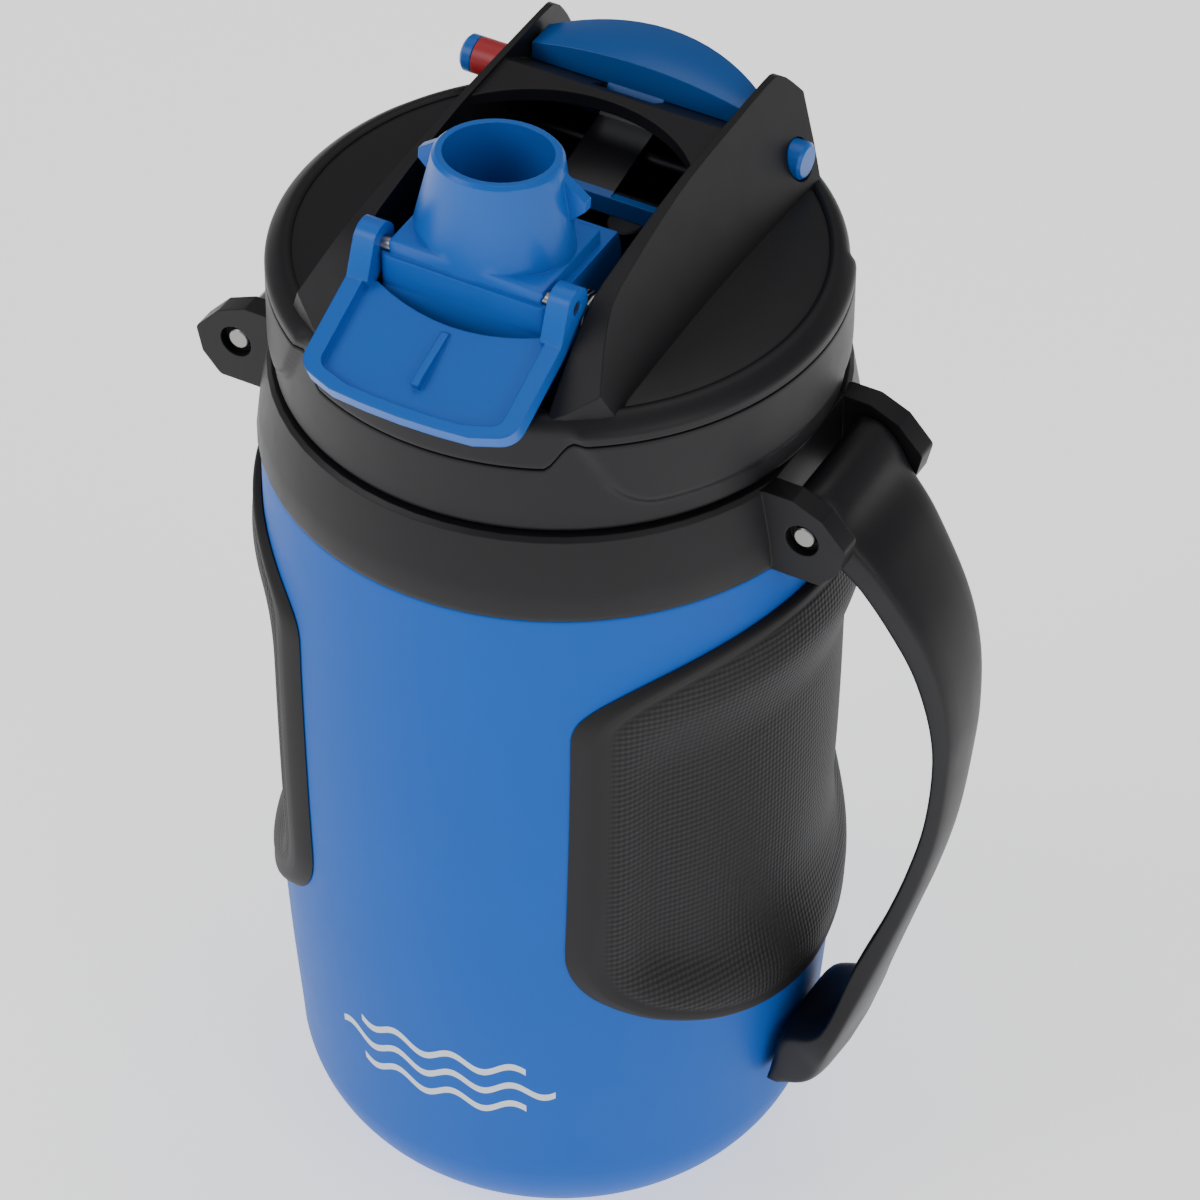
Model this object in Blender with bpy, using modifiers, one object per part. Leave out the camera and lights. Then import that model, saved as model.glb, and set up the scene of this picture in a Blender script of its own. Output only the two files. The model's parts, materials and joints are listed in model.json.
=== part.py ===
"""Large insulated water jug: a screwed lid with a fold-away spout and flip cover, a push lever
with a sliding lock, two side grip pads and a hinged side handle. Metres, +Z up, the origin is
the centre of the base, the spout faces -Y and the handle is on the +X side."""
import math

import bmesh
import bpy
from mathutils import Matrix, Vector

MM = 0.001
GAP = 0.3 * MM            # clearance between pieces that touch

# body
BODY_HEIGHT = 203.0 * MM  # base to the collar


def up(height):
    """A height drawn for a 203 mm body: above the body it rides up with the top, below it stretches."""
    if height > 203.0:
        return BODY_HEIGHT + (height - 203.0) * MM
    return BODY_HEIGHT * height / 203.0


TOP_R = 67.2 * MM         # outer shell under the collar
WAIST_R = 66.4 * MM
WAIST_Z = 94.0 * MM
HEEL_R = 62.6 * MM        # where the base rounding starts
BASE_ROUND = 29.7 * MM
BASE_RECESS = 1.5 * MM     # depth of the ring groove in the base
BASE_DISC_R = 14.0 * MM
SHELL_WALL = 2.0 * MM
LINER_R = 58.5 * MM       # outside of the liner and its neck
LINER_WALL = 2.0 * MM
LINER_BOTTOM = 9.0 * MM
LINER_ROUND = 22.0 * MM
NECK_TOP = up(235.6)

# collar and its two clevises
COLLAR_R = 68.0 * MM
COLLAR_TOP_R = 65.2 * MM
COLLAR_HEIGHT = 21.0 * MM
COLLAR_POCKET_X = 62.2 * MM
PIN_X = 71.5 * MM
PIN_Z = up(214.2)
PIN_R = 2.6 * MM
PIN_STEP_R = 3.3 * MM
PIN_SUNK = 0.9 * MM       # how far the pin's near end sits below the ear's face
EAR_OUT_Y = 21.5 * MM
EAR_WALL = 5.5 * MM
EAR_TIP_X = 82.0 * MM
RUNNING = 0.06 * MM       # radial clearance of a turning fit

# side handle
STRAP_ROOT_W = 31.4 * MM
STRAP_GRIP_W = 15.0 * MM
STRAP_LOW_W = 9.5 * MM
FOOT_W = 30.0 * MM
FOOT_BOTTOM = up(39.0)

# grip pads
PAD_HALF_Y = 58.0 * MM
PAD_TOP_Z = up(191.0)
PAD_BOTTOM_Z = 66.0 * MM
PAD_THICK = 2.0 * MM
PAD_CORNER = 13.0 * MM

# lid
LID_R = 63.5 * MM
LID_BOTTOM = up(225.1)
SKIRT_WALL = 2.4 * MM
SEAM_Z = up(249.0)
SEAM_FRONT_Z = up(242.0)
SEAM_FRONT_HALF_ANGLE = math.radians(29)
SHOULDER_Z = up(254.6)
DECK_Z = up(236.6)
DECK_THICK = 2.6 * MM
THREAD_LEAD = 14.0 * MM
THREAD_BASE_Z = LID_BOTTOM + 2.2 * MM
THREAD_R = 1.5 * MM       # half-round thread ridge
THREAD_STARTS = 2
GASKET_WIDTH = 4.7 * MM
GASKET_THICK = 2.6 * MM
COVER_WALL = 2.4 * MM
CHANNEL_HALF = 27.2 * MM  # inside half width between the fins
RIDGE_Z = up(280.0)
FIN_BASE_X = 39.5 * MM
FIN_TOP_WALL = 1.6 * MM
HOOD_EDGE_Y = 21.4 * MM
HOOD_EDGE_SAG = 6.0 * MM
HOOD_WALL = 2.6 * MM
SEAT_Z = up(268.8)       # the shelf under the lever pad
SEAT_WALL = 1.9 * MM
VENT_Y = 30.0 * MM
VENT_R = 2.0 * MM

# spout and flip cover
SPOUT_Y = -29.9 * MM
SPOUT_Z = up(264.4)
SPOUT_LEAN = math.radians(5.4)
SPOUT_RIM_R = 14.3 * MM
SPOUT_BORE_R = 12.1 * MM
SPOUT_FLARE_X = 18.6 * MM # half width and half depth of the neck at its foot
SPOUT_FLARE_Y = 13.3 * MM
SPOUT_LENGTH = 32.0 * MM
SPOUT_DRUM_R = 20.0 * MM
SPOUT_FRONT = 13.1 * MM   # from the pivot to the front face
SPOUT_TOP = 11.6 * MM     # from the pivot to the top of the block
SPOUT_HALF = 20.5 * MM
SPOUT_PIN_R = 2.5 * MM
COVER_Y = -39.9 * MM
COVER_Z = up(273.4)
COVER_OPEN = math.radians(25)
COVER_HALF = 26.2 * MM
COVER_LENGTH = 35.7 * MM
COVER_RIM_OFFSET = 2.5 * MM
COVER_THICK = 3.9 * MM
COVER_EYE_R = 4.6 * MM
COVER_PIN_R = 1.6 * MM

# lever and lock
LEVER_R = 49.8 * MM
LEVER_CHORD_Y = 34.5 * MM
LEVER_EDGE_Z = up(277.2)
LEVER_CROWN = 3.2 * MM
LEVER_THICK = 4.4 * MM
LEVER_HALF = 26.4 * MM
LEVER_AXLE_Y = 26.0 * MM
LEVER_AXLE_Z = up(263.0)
LEVER_AXLE_R = 1.5 * MM
LEVER_ARM_HALF = 7.0 * MM
RIB_HALF = 3.0 * MM       # the rib that the bolt blocks
NOSE_Y = 9.6 * MM
NOSE_TOP = up(262.6)
SPRING_X = 16.0 * MM
SPRING_Y = 41.0 * MM
SPRING_R = 2.6 * MM
SPRING_WIRE = 0.35 * MM
BOLT_Y = 43.0 * MM
BOLT_R = 4.4 * MM
BOLT_Z = SEAT_Z - SEAT_WALL - 0.5 * MM - BOLT_R
BOLT_LEFT_X = -47.8 * MM
BOLT_RIGHT_X = 36.0 * MM
BAND_START = 3.0 * MM     # from the bolt's left end
BAND_WIDTH = 8.0 * MM
BAND_DEPTH = 1.0 * MM
NOTCH_X = 0.0 * MM        # the lever drops in when the notch is over here
NOTCH_HALF = 3.6 * MM
NOTCH_R = 2.0 * MM

for item in list(bpy.data.objects):
    bpy.data.objects.remove(item)

parts = bpy.data.collections.new("water_jug")
cutters = bpy.data.collections.new("cutters")
bpy.context.scene.collection.children.link(parts)
bpy.context.scene.collection.children.link(cutters)


def material(name, colour, roughness, metallic=0.0):
    """A plain Principled material."""
    mat = bpy.data.materials.new(name)
    mat.use_nodes = True
    shader = mat.node_tree.nodes["Principled BSDF"]
    shader.inputs["Base Color"].default_value = (*colour, 1.0)
    shader.inputs["Roughness"].default_value = roughness
    shader.inputs["Metallic"].default_value = metallic
    mat.diffuse_color = (*colour, 1.0)
    return mat


BODY_BLUE = (0.0, 0.16, 0.54)
TRIM_BLUE = (0.0, 0.19, 0.6)
BLACK = (0.018, 0.017, 0.021)


def add_mesh(name, mesh, collection=None):
    """Put a mesh in the scene as an object of the part, or as a cutter."""
    obj = bpy.data.objects.new(name, mesh)
    (collection or parts).objects.link(obj)
    if collection is cutters:
        obj.hide_render = True
        obj.display_type = "WIRE"
    return obj


def finish(obj, mat):
    """Give a piece its material and smooth round shading with sharp edges kept."""
    obj.data.materials.clear()
    obj.data.materials.append(mat)
    obj.data.shade_smooth()
    obj.data.set_sharp_from_angle(angle=math.radians(35))
    return obj


def turned(name, profile, steps=96, collection=None, closed=False):
    """A turned solid about Z: (radius, height) points down the outer side, then a Screw."""
    mesh = bpy.data.meshes.new(name)
    count = len(profile)
    edges = [(i, i + 1) for i in range(count - 1)]
    if closed:
        edges.append((count - 1, 0))
    mesh.from_pydata([(r, 0.0, z) for r, z in profile], edges, [])
    obj = add_mesh(name, mesh, collection)
    screw = obj.modifiers.new("turn", "SCREW")
    screw.steps = steps
    screw.render_steps = steps
    screw.use_merge_vertices = True
    screw.merge_threshold = 0.000005
    screw.use_normal_calculate = False
    screw.use_smooth_shade = True
    return obj


def box(name, low, high, collection=None):
    """A box between two corners."""
    bpy.ops.mesh.primitive_cube_add(size=1.0)
    made = bpy.context.object
    mesh = made.data
    mesh.name = name
    centre = (Vector(low) + Vector(high)) / 2
    size = Vector(high) - Vector(low)
    mesh.transform(Matrix.Translation(centre) @ Matrix.Diagonal((*size, 1.0)))
    bpy.data.objects.remove(made)
    return add_mesh(name, mesh, collection)


def rod(name, start, end, radius, sides=32, collection=None):
    """A straight round rod between two points."""
    axis = Vector(end) - Vector(start)
    bpy.ops.mesh.primitive_cylinder_add(vertices=sides, radius=radius, depth=axis.length)
    made = bpy.context.object
    mesh = made.data
    mesh.name = name
    turn = axis.to_track_quat("Z", "Y").to_matrix().to_4x4()
    mesh.transform(Matrix.Translation((Vector(start) + Vector(end)) / 2) @ turn)
    bpy.data.objects.remove(made)
    return add_mesh(name, mesh, collection)


def curve_to_mesh(curve_obj, name, collection):
    """Turn a curve object into a welded mesh object in the same place."""
    graph = bpy.context.evaluated_depsgraph_get()
    mesh = bpy.data.meshes.new_from_object(curve_obj.evaluated_get(graph))
    mesh.transform(curve_obj.matrix_world)
    bm = bmesh.new()
    bm.from_mesh(mesh)
    bmesh.ops.remove_doubles(bm, verts=bm.verts, dist=0.00001)
    bmesh.ops.recalc_face_normals(bm, faces=bm.faces)
    bm.to_mesh(mesh)
    bm.free()
    data = curve_obj.data
    bpy.data.objects.remove(curve_obj)
    bpy.data.curves.remove(data)
    return add_mesh(name, mesh, collection)


def plate(name, outline, plane, low, high, collection=None):
    """A flat outline in plane XY, YZ or XZ, extruded along the third axis from low to high."""
    data = bpy.data.curves.new(name, "CURVE")
    data.dimensions = "2D"
    data.fill_mode = "BOTH"
    data.extrude = (high - low) / 2
    spline = data.splines.new("POLY")
    spline.points.add(len(outline) - 1)
    for point, (a, b) in zip(spline.points, outline):
        point.co = (a, b, 0.0, 1.0)
    spline.use_cyclic_u = True
    obj = bpy.data.objects.new(name, data)
    bpy.context.scene.collection.objects.link(obj)
    middle = (low + high) / 2
    if plane == "XY":
        frame = Matrix.Translation((0, 0, middle))
    elif plane == "YZ":
        frame = Matrix(((0, 0, 1, middle), (1, 0, 0, 0), (0, 1, 0, 0), (0, 0, 0, 1)))
    else:
        frame = Matrix(((1, 0, 0, 0), (0, 0, -1, middle), (0, 1, 0, 0), (0, 0, 0, 1)))
    obj.matrix_world = frame
    bpy.context.view_layer.update()
    return curve_to_mesh(obj, name, collection)


def wire(name, points, radius, collection=None):
    """A round wire along a run of points, with closed ends."""
    data = bpy.data.curves.new(name, "CURVE")
    data.dimensions = "3D"
    data.bevel_depth = radius
    data.bevel_resolution = 2
    data.use_fill_caps = True
    spline = data.splines.new("POLY")
    spline.points.add(len(points) - 1)
    for point, place in zip(spline.points, points):
        point.co = (*place, 1.0)
    obj = bpy.data.objects.new(name, data)
    bpy.context.scene.collection.objects.link(obj)
    bpy.context.view_layer.update()
    return curve_to_mesh(obj, name, collection)


def combine(obj, other, operation="DIFFERENCE"):
    """Cut, join or intersect obj with a cutter."""
    step = obj.modifiers.new(other.name, "BOOLEAN")
    step.operation = operation
    step.solver = "EXACT"
    step.object = other
    return obj


def soften(obj, width, segments=2, angle=40):
    """Round the sharp edges."""
    bevel = obj.modifiers.new("edges", "BEVEL")
    bevel.width = width
    bevel.segments = segments
    bevel.limit_method = "ANGLE"
    bevel.angle_limit = math.radians(angle)
    bevel.use_clamp_overlap = True
    return obj


def arc(centre, radius, start, end, count):
    """Points of an arc; the angles are in degrees."""
    turn = [math.radians(start + (end - start) * i / count) for i in range(count + 1)]
    return [(centre[0] + radius * math.cos(t), centre[1] + radius * math.sin(t)) for t in turn]


def rounded(corners, radius, count=5):
    """A convex outline, anticlockwise, with each corner rounded."""
    points = []
    size = len(corners)
    for i in range(size):
        here = Vector(corners[i])
        back = (Vector(corners[i - 1]) - here).normalized()
        ahead = (Vector(corners[(i + 1) % size]) - here).normalized()
        half = back.angle(ahead) / 2
        centre = here + (back + ahead).normalized() * (radius / math.sin(half))
        first = here + back * (radius / math.tan(half)) - centre
        last = here + ahead * (radius / math.tan(half)) - centre
        start = math.atan2(first.y, first.x)
        sweep = (math.atan2(last.y, last.x) - start + math.pi) % (2 * math.pi) - math.pi
        for k in range(count + 1):
            t = start + sweep * k / count
            points.append((centre.x + radius * math.cos(t), centre.y + radius * math.sin(t)))
    return points


def spline_through(keys, count):
    """Smooth points through a few (a, b) keys, by Catmull-Rom."""
    keys = [Vector(k) for k in keys]
    ends = [2 * keys[0] - keys[1]] + keys + [2 * keys[-1] - keys[-2]]
    points = []
    for i in range(1, len(ends) - 2):
        p0, p1, p2, p3 = ends[i - 1:i + 3]
        for k in range(count):
            t = k / count
            place = 0.5 * (2 * p1 + (p2 - p0) * t + (2 * p0 - 5 * p1 + 4 * p2 - p3) * t * t
                           + (3 * p1 - p0 - 3 * p2 + p3) * t ** 3)
            points.append(tuple(place))
    points.append(tuple(keys[-1]))
    return points


def side_profile(offset=0.0):
    """The jug's outer side from the collar down to the base rounding, moved by offset."""
    keys = [(TOP_R, BODY_HEIGHT), (TOP_R, 0.75 * BODY_HEIGHT), (WAIST_R, WAIST_Z),
            ((WAIST_R + HEEL_R) / 2 + 0.5 * MM, (WAIST_Z + BASE_ROUND) / 2), (HEEL_R, BASE_ROUND)]
    points = spline_through(keys, 2)
    return [(r + offset, z) for r, z in points[:1] + points[2:]]


def side_radius(height):
    """Radius of the jug's side at a height above the base rounding."""
    points = side_profile()
    for (r1, z1), (r2, z2) in zip(points, points[1:]):
        if z2 <= height <= z1:
            return r2 + (r1 - r2) * (height - z2) / (z1 - z2)
    return HEEL_R


def outer_shell(mat):
    ring_r = HEEL_R - BASE_ROUND
    neck_r = LINER_R + GAP
    profile = [(0.0, BASE_RECESS + SHELL_WALL)]
    profile += arc((ring_r, BASE_ROUND), BASE_ROUND - SHELL_WALL, -85, -9, 4)
    profile += [(r, z) for r, z in reversed(side_profile(-SHELL_WALL)) if z < BODY_HEIGHT - 6 * MM]
    profile += [(TOP_R - SHELL_WALL, BODY_HEIGHT - SHELL_WALL), (neck_r, BODY_HEIGHT - SHELL_WALL)]
    profile += [(neck_r, BODY_HEIGHT)] + side_profile()
    profile += arc((ring_r, BASE_ROUND), BASE_ROUND, -9, -90, 5)
    profile += [(ring_r - 7 * MM, 0.0), (ring_r - 9 * MM, BASE_RECESS), (BASE_DISC_R + 2 * MM, BASE_RECESS)]
    profile += [(BASE_DISC_R, 0.0), (0.0, 0.0)]
    return finish(turned("outer_shell", profile, 52), mat)


def inner_liner(mat):
    centre = (LINER_R - LINER_ROUND, LINER_BOTTOM + LINER_ROUND)
    profile = [(0.0, LINER_BOTTOM + LINER_WALL)]
    profile += arc(centre, LINER_ROUND - LINER_WALL, -90, 0, 3)
    profile += [(LINER_R - LINER_WALL, NECK_TOP), (LINER_R, NECK_TOP)]
    profile += arc(centre, LINER_ROUND, 0, -90, 3)
    profile += [(0.0, LINER_BOTTOM)]
    obj = turned("inner_liner", profile, 44)
    for start in range(THREAD_STARTS):
        turn = 360.0 * start / THREAD_STARTS
        ridge = thread_ridge("liner_thread_%d" % start, LINER_R, turn, 2, 152, THREAD_BASE_Z)
        combine(obj, ridge, "UNION")
    return finish(obj, mat)


def thread_ridge(name, radius, turn, first, last, base):
    """One half-round thread ridge: a wire along a helix between two angles in degrees."""
    points = []
    count = int((last - first) / 10)
    for i in range(count + 1):
        angle = first + (last - first) * i / count
        t = math.radians(angle + turn)
        points.append((radius * math.cos(t), radius * math.sin(t), base + THREAD_LEAD * angle / 360))
    return wire(name, points, THREAD_R, cutters)


def foam_insulation(mat):
    """The insulation fills the space between the shell and the liner."""
    skin = SHELL_WALL + GAP
    ring_r = HEEL_R - BASE_ROUND
    inner_r = LINER_R + GAP
    top = BODY_HEIGHT - SHELL_WALL - GAP
    profile = [(0.0, LINER_BOTTOM - GAP)]
    profile += arc((LINER_R - LINER_ROUND, LINER_BOTTOM + LINER_ROUND), LINER_ROUND + GAP, -90, 0, 3)
    profile += [(inner_r, top), (TOP_R - skin, top)]
    profile += [(r, z) for r, z in side_profile(-skin) if z < top - 5 * MM]
    profile += arc((ring_r, BASE_ROUND), BASE_ROUND - skin, -9, -85, 4)
    profile += [(0.0, BASE_RECESS + skin)]
    return finish(turned("foam_insulation", profile, 36), mat)


def pad_outline():
    """A grip pad's outline, seen from the side: straight edges, bowed top, deeper bowed bottom."""
    top = spline_through([(-PAD_HALF_Y, PAD_TOP_Z - 20 * MM), (-0.965 * PAD_HALF_Y, PAD_TOP_Z - 13 * MM),
                          (-0.86 * PAD_HALF_Y, PAD_TOP_Z - 7.5 * MM), (-0.62 * PAD_HALF_Y, PAD_TOP_Z - 2.2 * MM),
                          (-0.3 * PAD_HALF_Y, PAD_TOP_Z - 0.3 * MM), (0.0, PAD_TOP_Z)], 2)
    low = spline_through([(0.0, PAD_BOTTOM_Z), (-0.4 * PAD_HALF_Y, PAD_BOTTOM_Z + 4.6 * MM),
                          (-0.76 * PAD_HALF_Y, PAD_BOTTOM_Z + 12 * MM), (-0.93 * PAD_HALF_Y, PAD_BOTTOM_Z + 21 * MM),
                          (-PAD_HALF_Y, PAD_BOTTOM_Z + 34 * MM)], 2)
    right_top = [(-y, z) for y, z in reversed(top[:-1])]
    right_low = [(-y, z) for y, z in reversed(low[1:])]
    return list(reversed(top + right_top + right_low + low[:-1]))


def grip_pad(name, side, mat):
    """A soft pad that wraps a third of the body, with a waist for the fingers."""
    def relief(z):
        return -1.3 * MM * math.exp(-((z - 0.5 * (PAD_TOP_Z + PAD_BOTTOM_Z)) / (19 * MM)) ** 2)
    count = 10
    heights = [PAD_TOP_Z + 2 * MM - (PAD_TOP_Z - PAD_BOTTOM_Z + 4 * MM) * i / count
               for i in range(count + 1)]
    outside = [(side_radius(z) + GAP + PAD_THICK + relief(z), z) for z in heights]
    inside = [(side_radius(z) + GAP, z) for z in reversed(heights)]
    obj = turned(name, outside + inside, 60, closed=True)
    low, high = (0.02, 0.09) if side > 0 else (-0.09, -0.02)
    combine(obj, plate(name + "_outline", pad_outline(), "YZ", low, high, cutters), "INTERSECT")
    return finish(obj, mat)


def ear_outline(side):
    """A clevis ear from the side: wide at the collar, narrowing to a blunt tip."""
    top = BODY_HEIGHT + GAP + COLLAR_HEIGHT
    low = BODY_HEIGHT + GAP
    corners = [(60.5 * MM, low), (76.0 * MM, low), (EAR_TIP_X - 1.5 * MM, low + 5 * MM),
               (EAR_TIP_X, top - 9.5 * MM), (EAR_TIP_X - 6 * MM, top - 3 * MM),
               (69 * MM, top), (60.5 * MM, top)]
    points = rounded(corners, 1.4 * MM, 2)
    return points if side > 0 else [(-x, z) for x, z in reversed(points)]


def collar_ring(mat):
    low = BODY_HEIGHT + GAP
    top = low + COLLAR_HEIGHT
    bore = LINER_R + 2 * GAP
    profile = [(bore, top), (COLLAR_TOP_R - 1.0 * MM, top), (COLLAR_TOP_R, top - 1.0 * MM),
               (COLLAR_R - 0.7 * MM, low + 8 * MM), (COLLAR_R, low + 1.5 * MM),
               (COLLAR_R - 0.4 * MM, low), (bore, low)]
    obj = turned("collar_ring", profile, 60, closed=True)
    inner_y = EAR_OUT_Y - EAR_WALL
    for side in (1, -1):
        for wing in (1, -1):
            y_low, y_high = sorted((wing * (inner_y - 1 * MM), wing * EAR_OUT_Y))
            tag = "%s_%s" % ("right" if side > 0 else "left", "far" if wing > 0 else "near")
            ear = plate("ear_" + tag, ear_outline(side), "XZ", y_low, y_high, cutters)
            combine(obj, ear, "UNION")
    for side in (1, -1):
        x_low, x_high = sorted((side * COLLAR_POCKET_X, side * 95 * MM))
        pocket = box("pocket_%d" % side, (x_low, -inner_y, low - 5 * MM),
                     (x_high, inner_y, top + 5 * MM), cutters)
        combine(obj, pocket)
        sunk = -EAR_OUT_Y + 2.6 * MM
        hole = rod("pin_hole_%d" % side, (side * PIN_X, sunk - 0.5 * MM, PIN_Z),
                   (side * PIN_X, EAR_OUT_Y - 2.0 * MM, PIN_Z), PIN_R + RUNNING, 32, cutters)
        combine(obj, hole)
        sink = rod("counterbore_%d" % side, (side * PIN_X, -30 * MM, PIN_Z), (side * PIN_X, sunk, PIN_Z),
                   PIN_R + 1.4 * MM, 36, cutters)
        combine(obj, sink)
    return finish(obj, mat)


def clevis_pin(name, side, stepped, mat):
    """A steel pin; its near end shows in the counterbore. The strap pin has a thicker sleeve."""
    length = 2 * EAR_OUT_Y - PIN_SUNK - 2.0 * MM - GAP
    bevel = 0.35 * MM
    profile = [(0.0, length), (PIN_R - bevel, length), (PIN_R, length - bevel)]
    if stepped:
        low = EAR_WALL + GAP - PIN_SUNK
        high = low + 18 * MM
        profile += [(PIN_R, high), (PIN_STEP_R, high), (PIN_STEP_R, low), (PIN_R, low)]
    profile += [(PIN_R, bevel), (PIN_R - bevel, 0.0), (0.0, 0.0)]
    obj = turned(name, profile, 24)
    start = Matrix.Translation((side * PIN_X, -EAR_OUT_Y + PIN_SUNK, PIN_Z))
    obj.matrix_world = start @ Matrix.Rotation(-math.pi / 2, 4, "X")
    return finish(obj, mat)


def handle_outline():
    """The handle from the side: eye at the pin, bowed strap, foot against the body."""
    outer = spline_through([(81.0 * MM, up(213.0)), (88.4 * MM, up(204.5)), (98.0 * MM, up(189.0)),
                            (102.8 * MM, up(175.0)), (104.4 * MM, up(160.0)), (103.6 * MM, up(146.0)),
                            (101.4 * MM, up(127.0)), (97.6 * MM, up(110.0)), (92.6 * MM, up(93.0)),
                            (86.4 * MM, up(72.0)), (78.4 * MM, FOOT_BOTTOM + 7 * MM)], 3)
    foot_x = side_radius(50 * MM) + 0.6 * MM
    foot = [(foot_x - 1.0 * MM, FOOT_BOTTOM), (foot_x + 0.2 * MM, FOOT_BOTTOM + 18 * MM),
            (foot_x + 6.0 * MM, FOOT_BOTTOM + 19.5 * MM), (foot_x + 12 * MM, FOOT_BOTTOM + 27 * MM)]
    inner = spline_through([(83.6 * MM, up(84.0)), (88.4 * MM, up(99.0)), (93.0 * MM, up(114.0)),
                            (96.2 * MM, up(128.0)), (97.8 * MM, up(142.0)), (97.8 * MM, up(153.0)),
                            (96.2 * MM, up(165.0)), (93.0 * MM, up(176.0)), (87.6 * MM, up(188.0)),
                            (84.4 * MM, up(193.4))], 3)
    root = [(76.4 * MM, up(195.6)), (75.4 * MM, up(204.4))]
    eye = arc((PIN_X, PIN_Z), 7.6 * MM, 300, 155, 12)
    nose = [(67.3 * MM, up(221.6)), (68.2 * MM, up(222.6)), (73.4 * MM, up(222.4)), (78.2 * MM, up(218.2))]
    return outer, foot, inner, root, eye, nose


def handle_width():
    """The handle from the front: wide between the ears, slim at the grip, wide at the foot."""
    keys = [(STRAP_ROOT_W / 2, up(226.0)), (STRAP_ROOT_W / 2, up(208.0)), (13.6 * MM, up(196.0)),
            (10.2 * MM, up(180.0)), (STRAP_GRIP_W / 2, up(162.0)), (6.4 * MM, up(140.0)),
            (5.2 * MM, up(118.0)), (STRAP_LOW_W / 2, up(98.0)), (5.6 * MM, up(84.0)),
            (9.0 * MM, up(72.0)), (FOOT_W / 2, up(61.0)), (FOOT_W / 2, up(30.0))]
    right = spline_through(keys, 3)
    return right + [(-y, z) for y, z in reversed(right)]


def side_handle(mat):
    outer, foot, inner, root, eye, nose = handle_outline()
    outline = outer + foot + inner + root + eye + nose
    obj = plate("side_handle", outline, "XZ", -FOOT_W, FOOT_W)
    front = plate("handle_front", list(reversed(handle_width())), "YZ", 0.05, 0.12, cutters)
    combine(obj, front, "INTERSECT")
    hole = rod("handle_bore", (PIN_X, -40 * MM, PIN_Z), (PIN_X, 40 * MM, PIN_Z), PIN_R + RUNNING, 32, cutters)
    combine(obj, hole)
    for wing in (1, -1):
        corners = [(78.6 * MM, up(197.8)), (85.2 * MM, up(196.2)), (83.4 * MM, up(203.0)),
                   (79.4 * MM, up(205.6))]
        y_low, y_high = sorted((wing * 5 * MM, wing * 30 * MM))
        pocket = plate("handle_pocket_%d" % wing, rounded(corners, 1.0 * MM, 3), "XZ", y_low, y_high, cutters)
        combine(obj, pocket)
    slot = plate("handle_slot", rounded([(-9 * MM, up(51)), (9 * MM, up(51)), (9 * MM, up(58)),
                                         (-9 * MM, up(58))], 3.2 * MM, 4), "YZ", 77.6 * MM, 0.12, cutters)
    combine(obj, slot)
    body = turned("body_clearance", [(0.0, BODY_HEIGHT)] + side_profile(GAP + 0.2 * MM) + [(0.0, BASE_ROUND)],
                  96, cutters)
    combine(obj, body)
    return finish(obj, mat)


def sector(name, half_angle, low, high):
    """A wedge about -Y, used to step the seam down at the front."""
    reach = 0.09
    x = reach * math.tan(half_angle)
    return plate(name, [(0.0, 0.0), (-x, -reach), (x, -reach)], "XY", low, high, cutters)


def lid_base(mat):
    inner = LID_R - SKIRT_WALL
    deck_top = DECK_Z + DECK_THICK
    seat = NECK_TOP + 2 * GAP + GASKET_THICK
    seam = SEAM_Z - 0.15 * MM
    profile = [(inner - 0.1 * MM, seam), (LID_R - 0.6 * MM, seam), (LID_R, seam - 0.6 * MM),
               (LID_R, LID_BOTTOM + 1.2 * MM), (LID_R - 0.8 * MM, LID_BOTTOM), (inner, LID_BOTTOM),
               (inner, seat), (inner - GASKET_WIDTH - 1.2 * MM, seat),
               (inner - GASKET_WIDTH - 2.0 * MM, DECK_Z), (0.0, DECK_Z), (0.0, deck_top),
               (inner - GASKET_WIDTH - 4.0 * MM, deck_top), (inner - GASKET_WIDTH - 2.0 * MM, seat + DECK_THICK),
               (inner - 0.1 * MM, seat + DECK_THICK)]
    obj = turned("lid_base", profile, 52, closed=True)
    for start in range(THREAD_STARTS):
        turn = 360.0 * start / THREAD_STARTS
        ridge = thread_ridge("lid_thread_%d" % start, inner - 0.1 * MM, turn, 95, 200,
                             THREAD_BASE_Z - THREAD_LEAD / THREAD_STARTS / 2)
        combine(obj, ridge, "UNION")
    step = sector("front_step_base", SEAM_FRONT_HALF_ANGLE, SEAM_FRONT_Z - 0.15 * MM, up(270))
    combine(obj, step)
    port = rod("drink_port", (0, SPOUT_Y, up(200)), (0, SPOUT_Y, up(270)), 11.0 * MM, 48, cutters)
    combine(obj, port)
    vent = rod("vent_port", (0, VENT_Y, up(200)), (0, VENT_Y, up(270)), VENT_R, 24, cutters)
    combine(obj, vent)
    drum = rod("drum_clearance_base", (-22 * MM, SPOUT_Y, SPOUT_Z), (22 * MM, SPOUT_Y, SPOUT_Z),
               SPOUT_DRUM_R + 2 * GAP, 64, cutters)
    combine(obj, drum)
    return finish(obj, mat)


def vent_valve(mat):
    """An umbrella valve in the deck: stem through the hole, head above, bulb below."""
    low = DECK_Z
    high = DECK_Z + DECK_THICK
    stem = VENT_R - GAP
    profile = [(0.0, high + 2.2 * MM), (4.0 * MM, high + 1.0 * MM), (4.2 * MM, high + GAP), (stem, high + GAP),
               (stem, low - GAP), (2.8 * MM, low - 0.8 * MM), (1.2 * MM, low - 4.0 * MM), (0.0, low - 4.0 * MM)]
    obj = turned("vent_valve", profile, 24)
    obj.location = (0.0, VENT_Y, 0.0)
    return finish(obj, mat)


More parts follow.
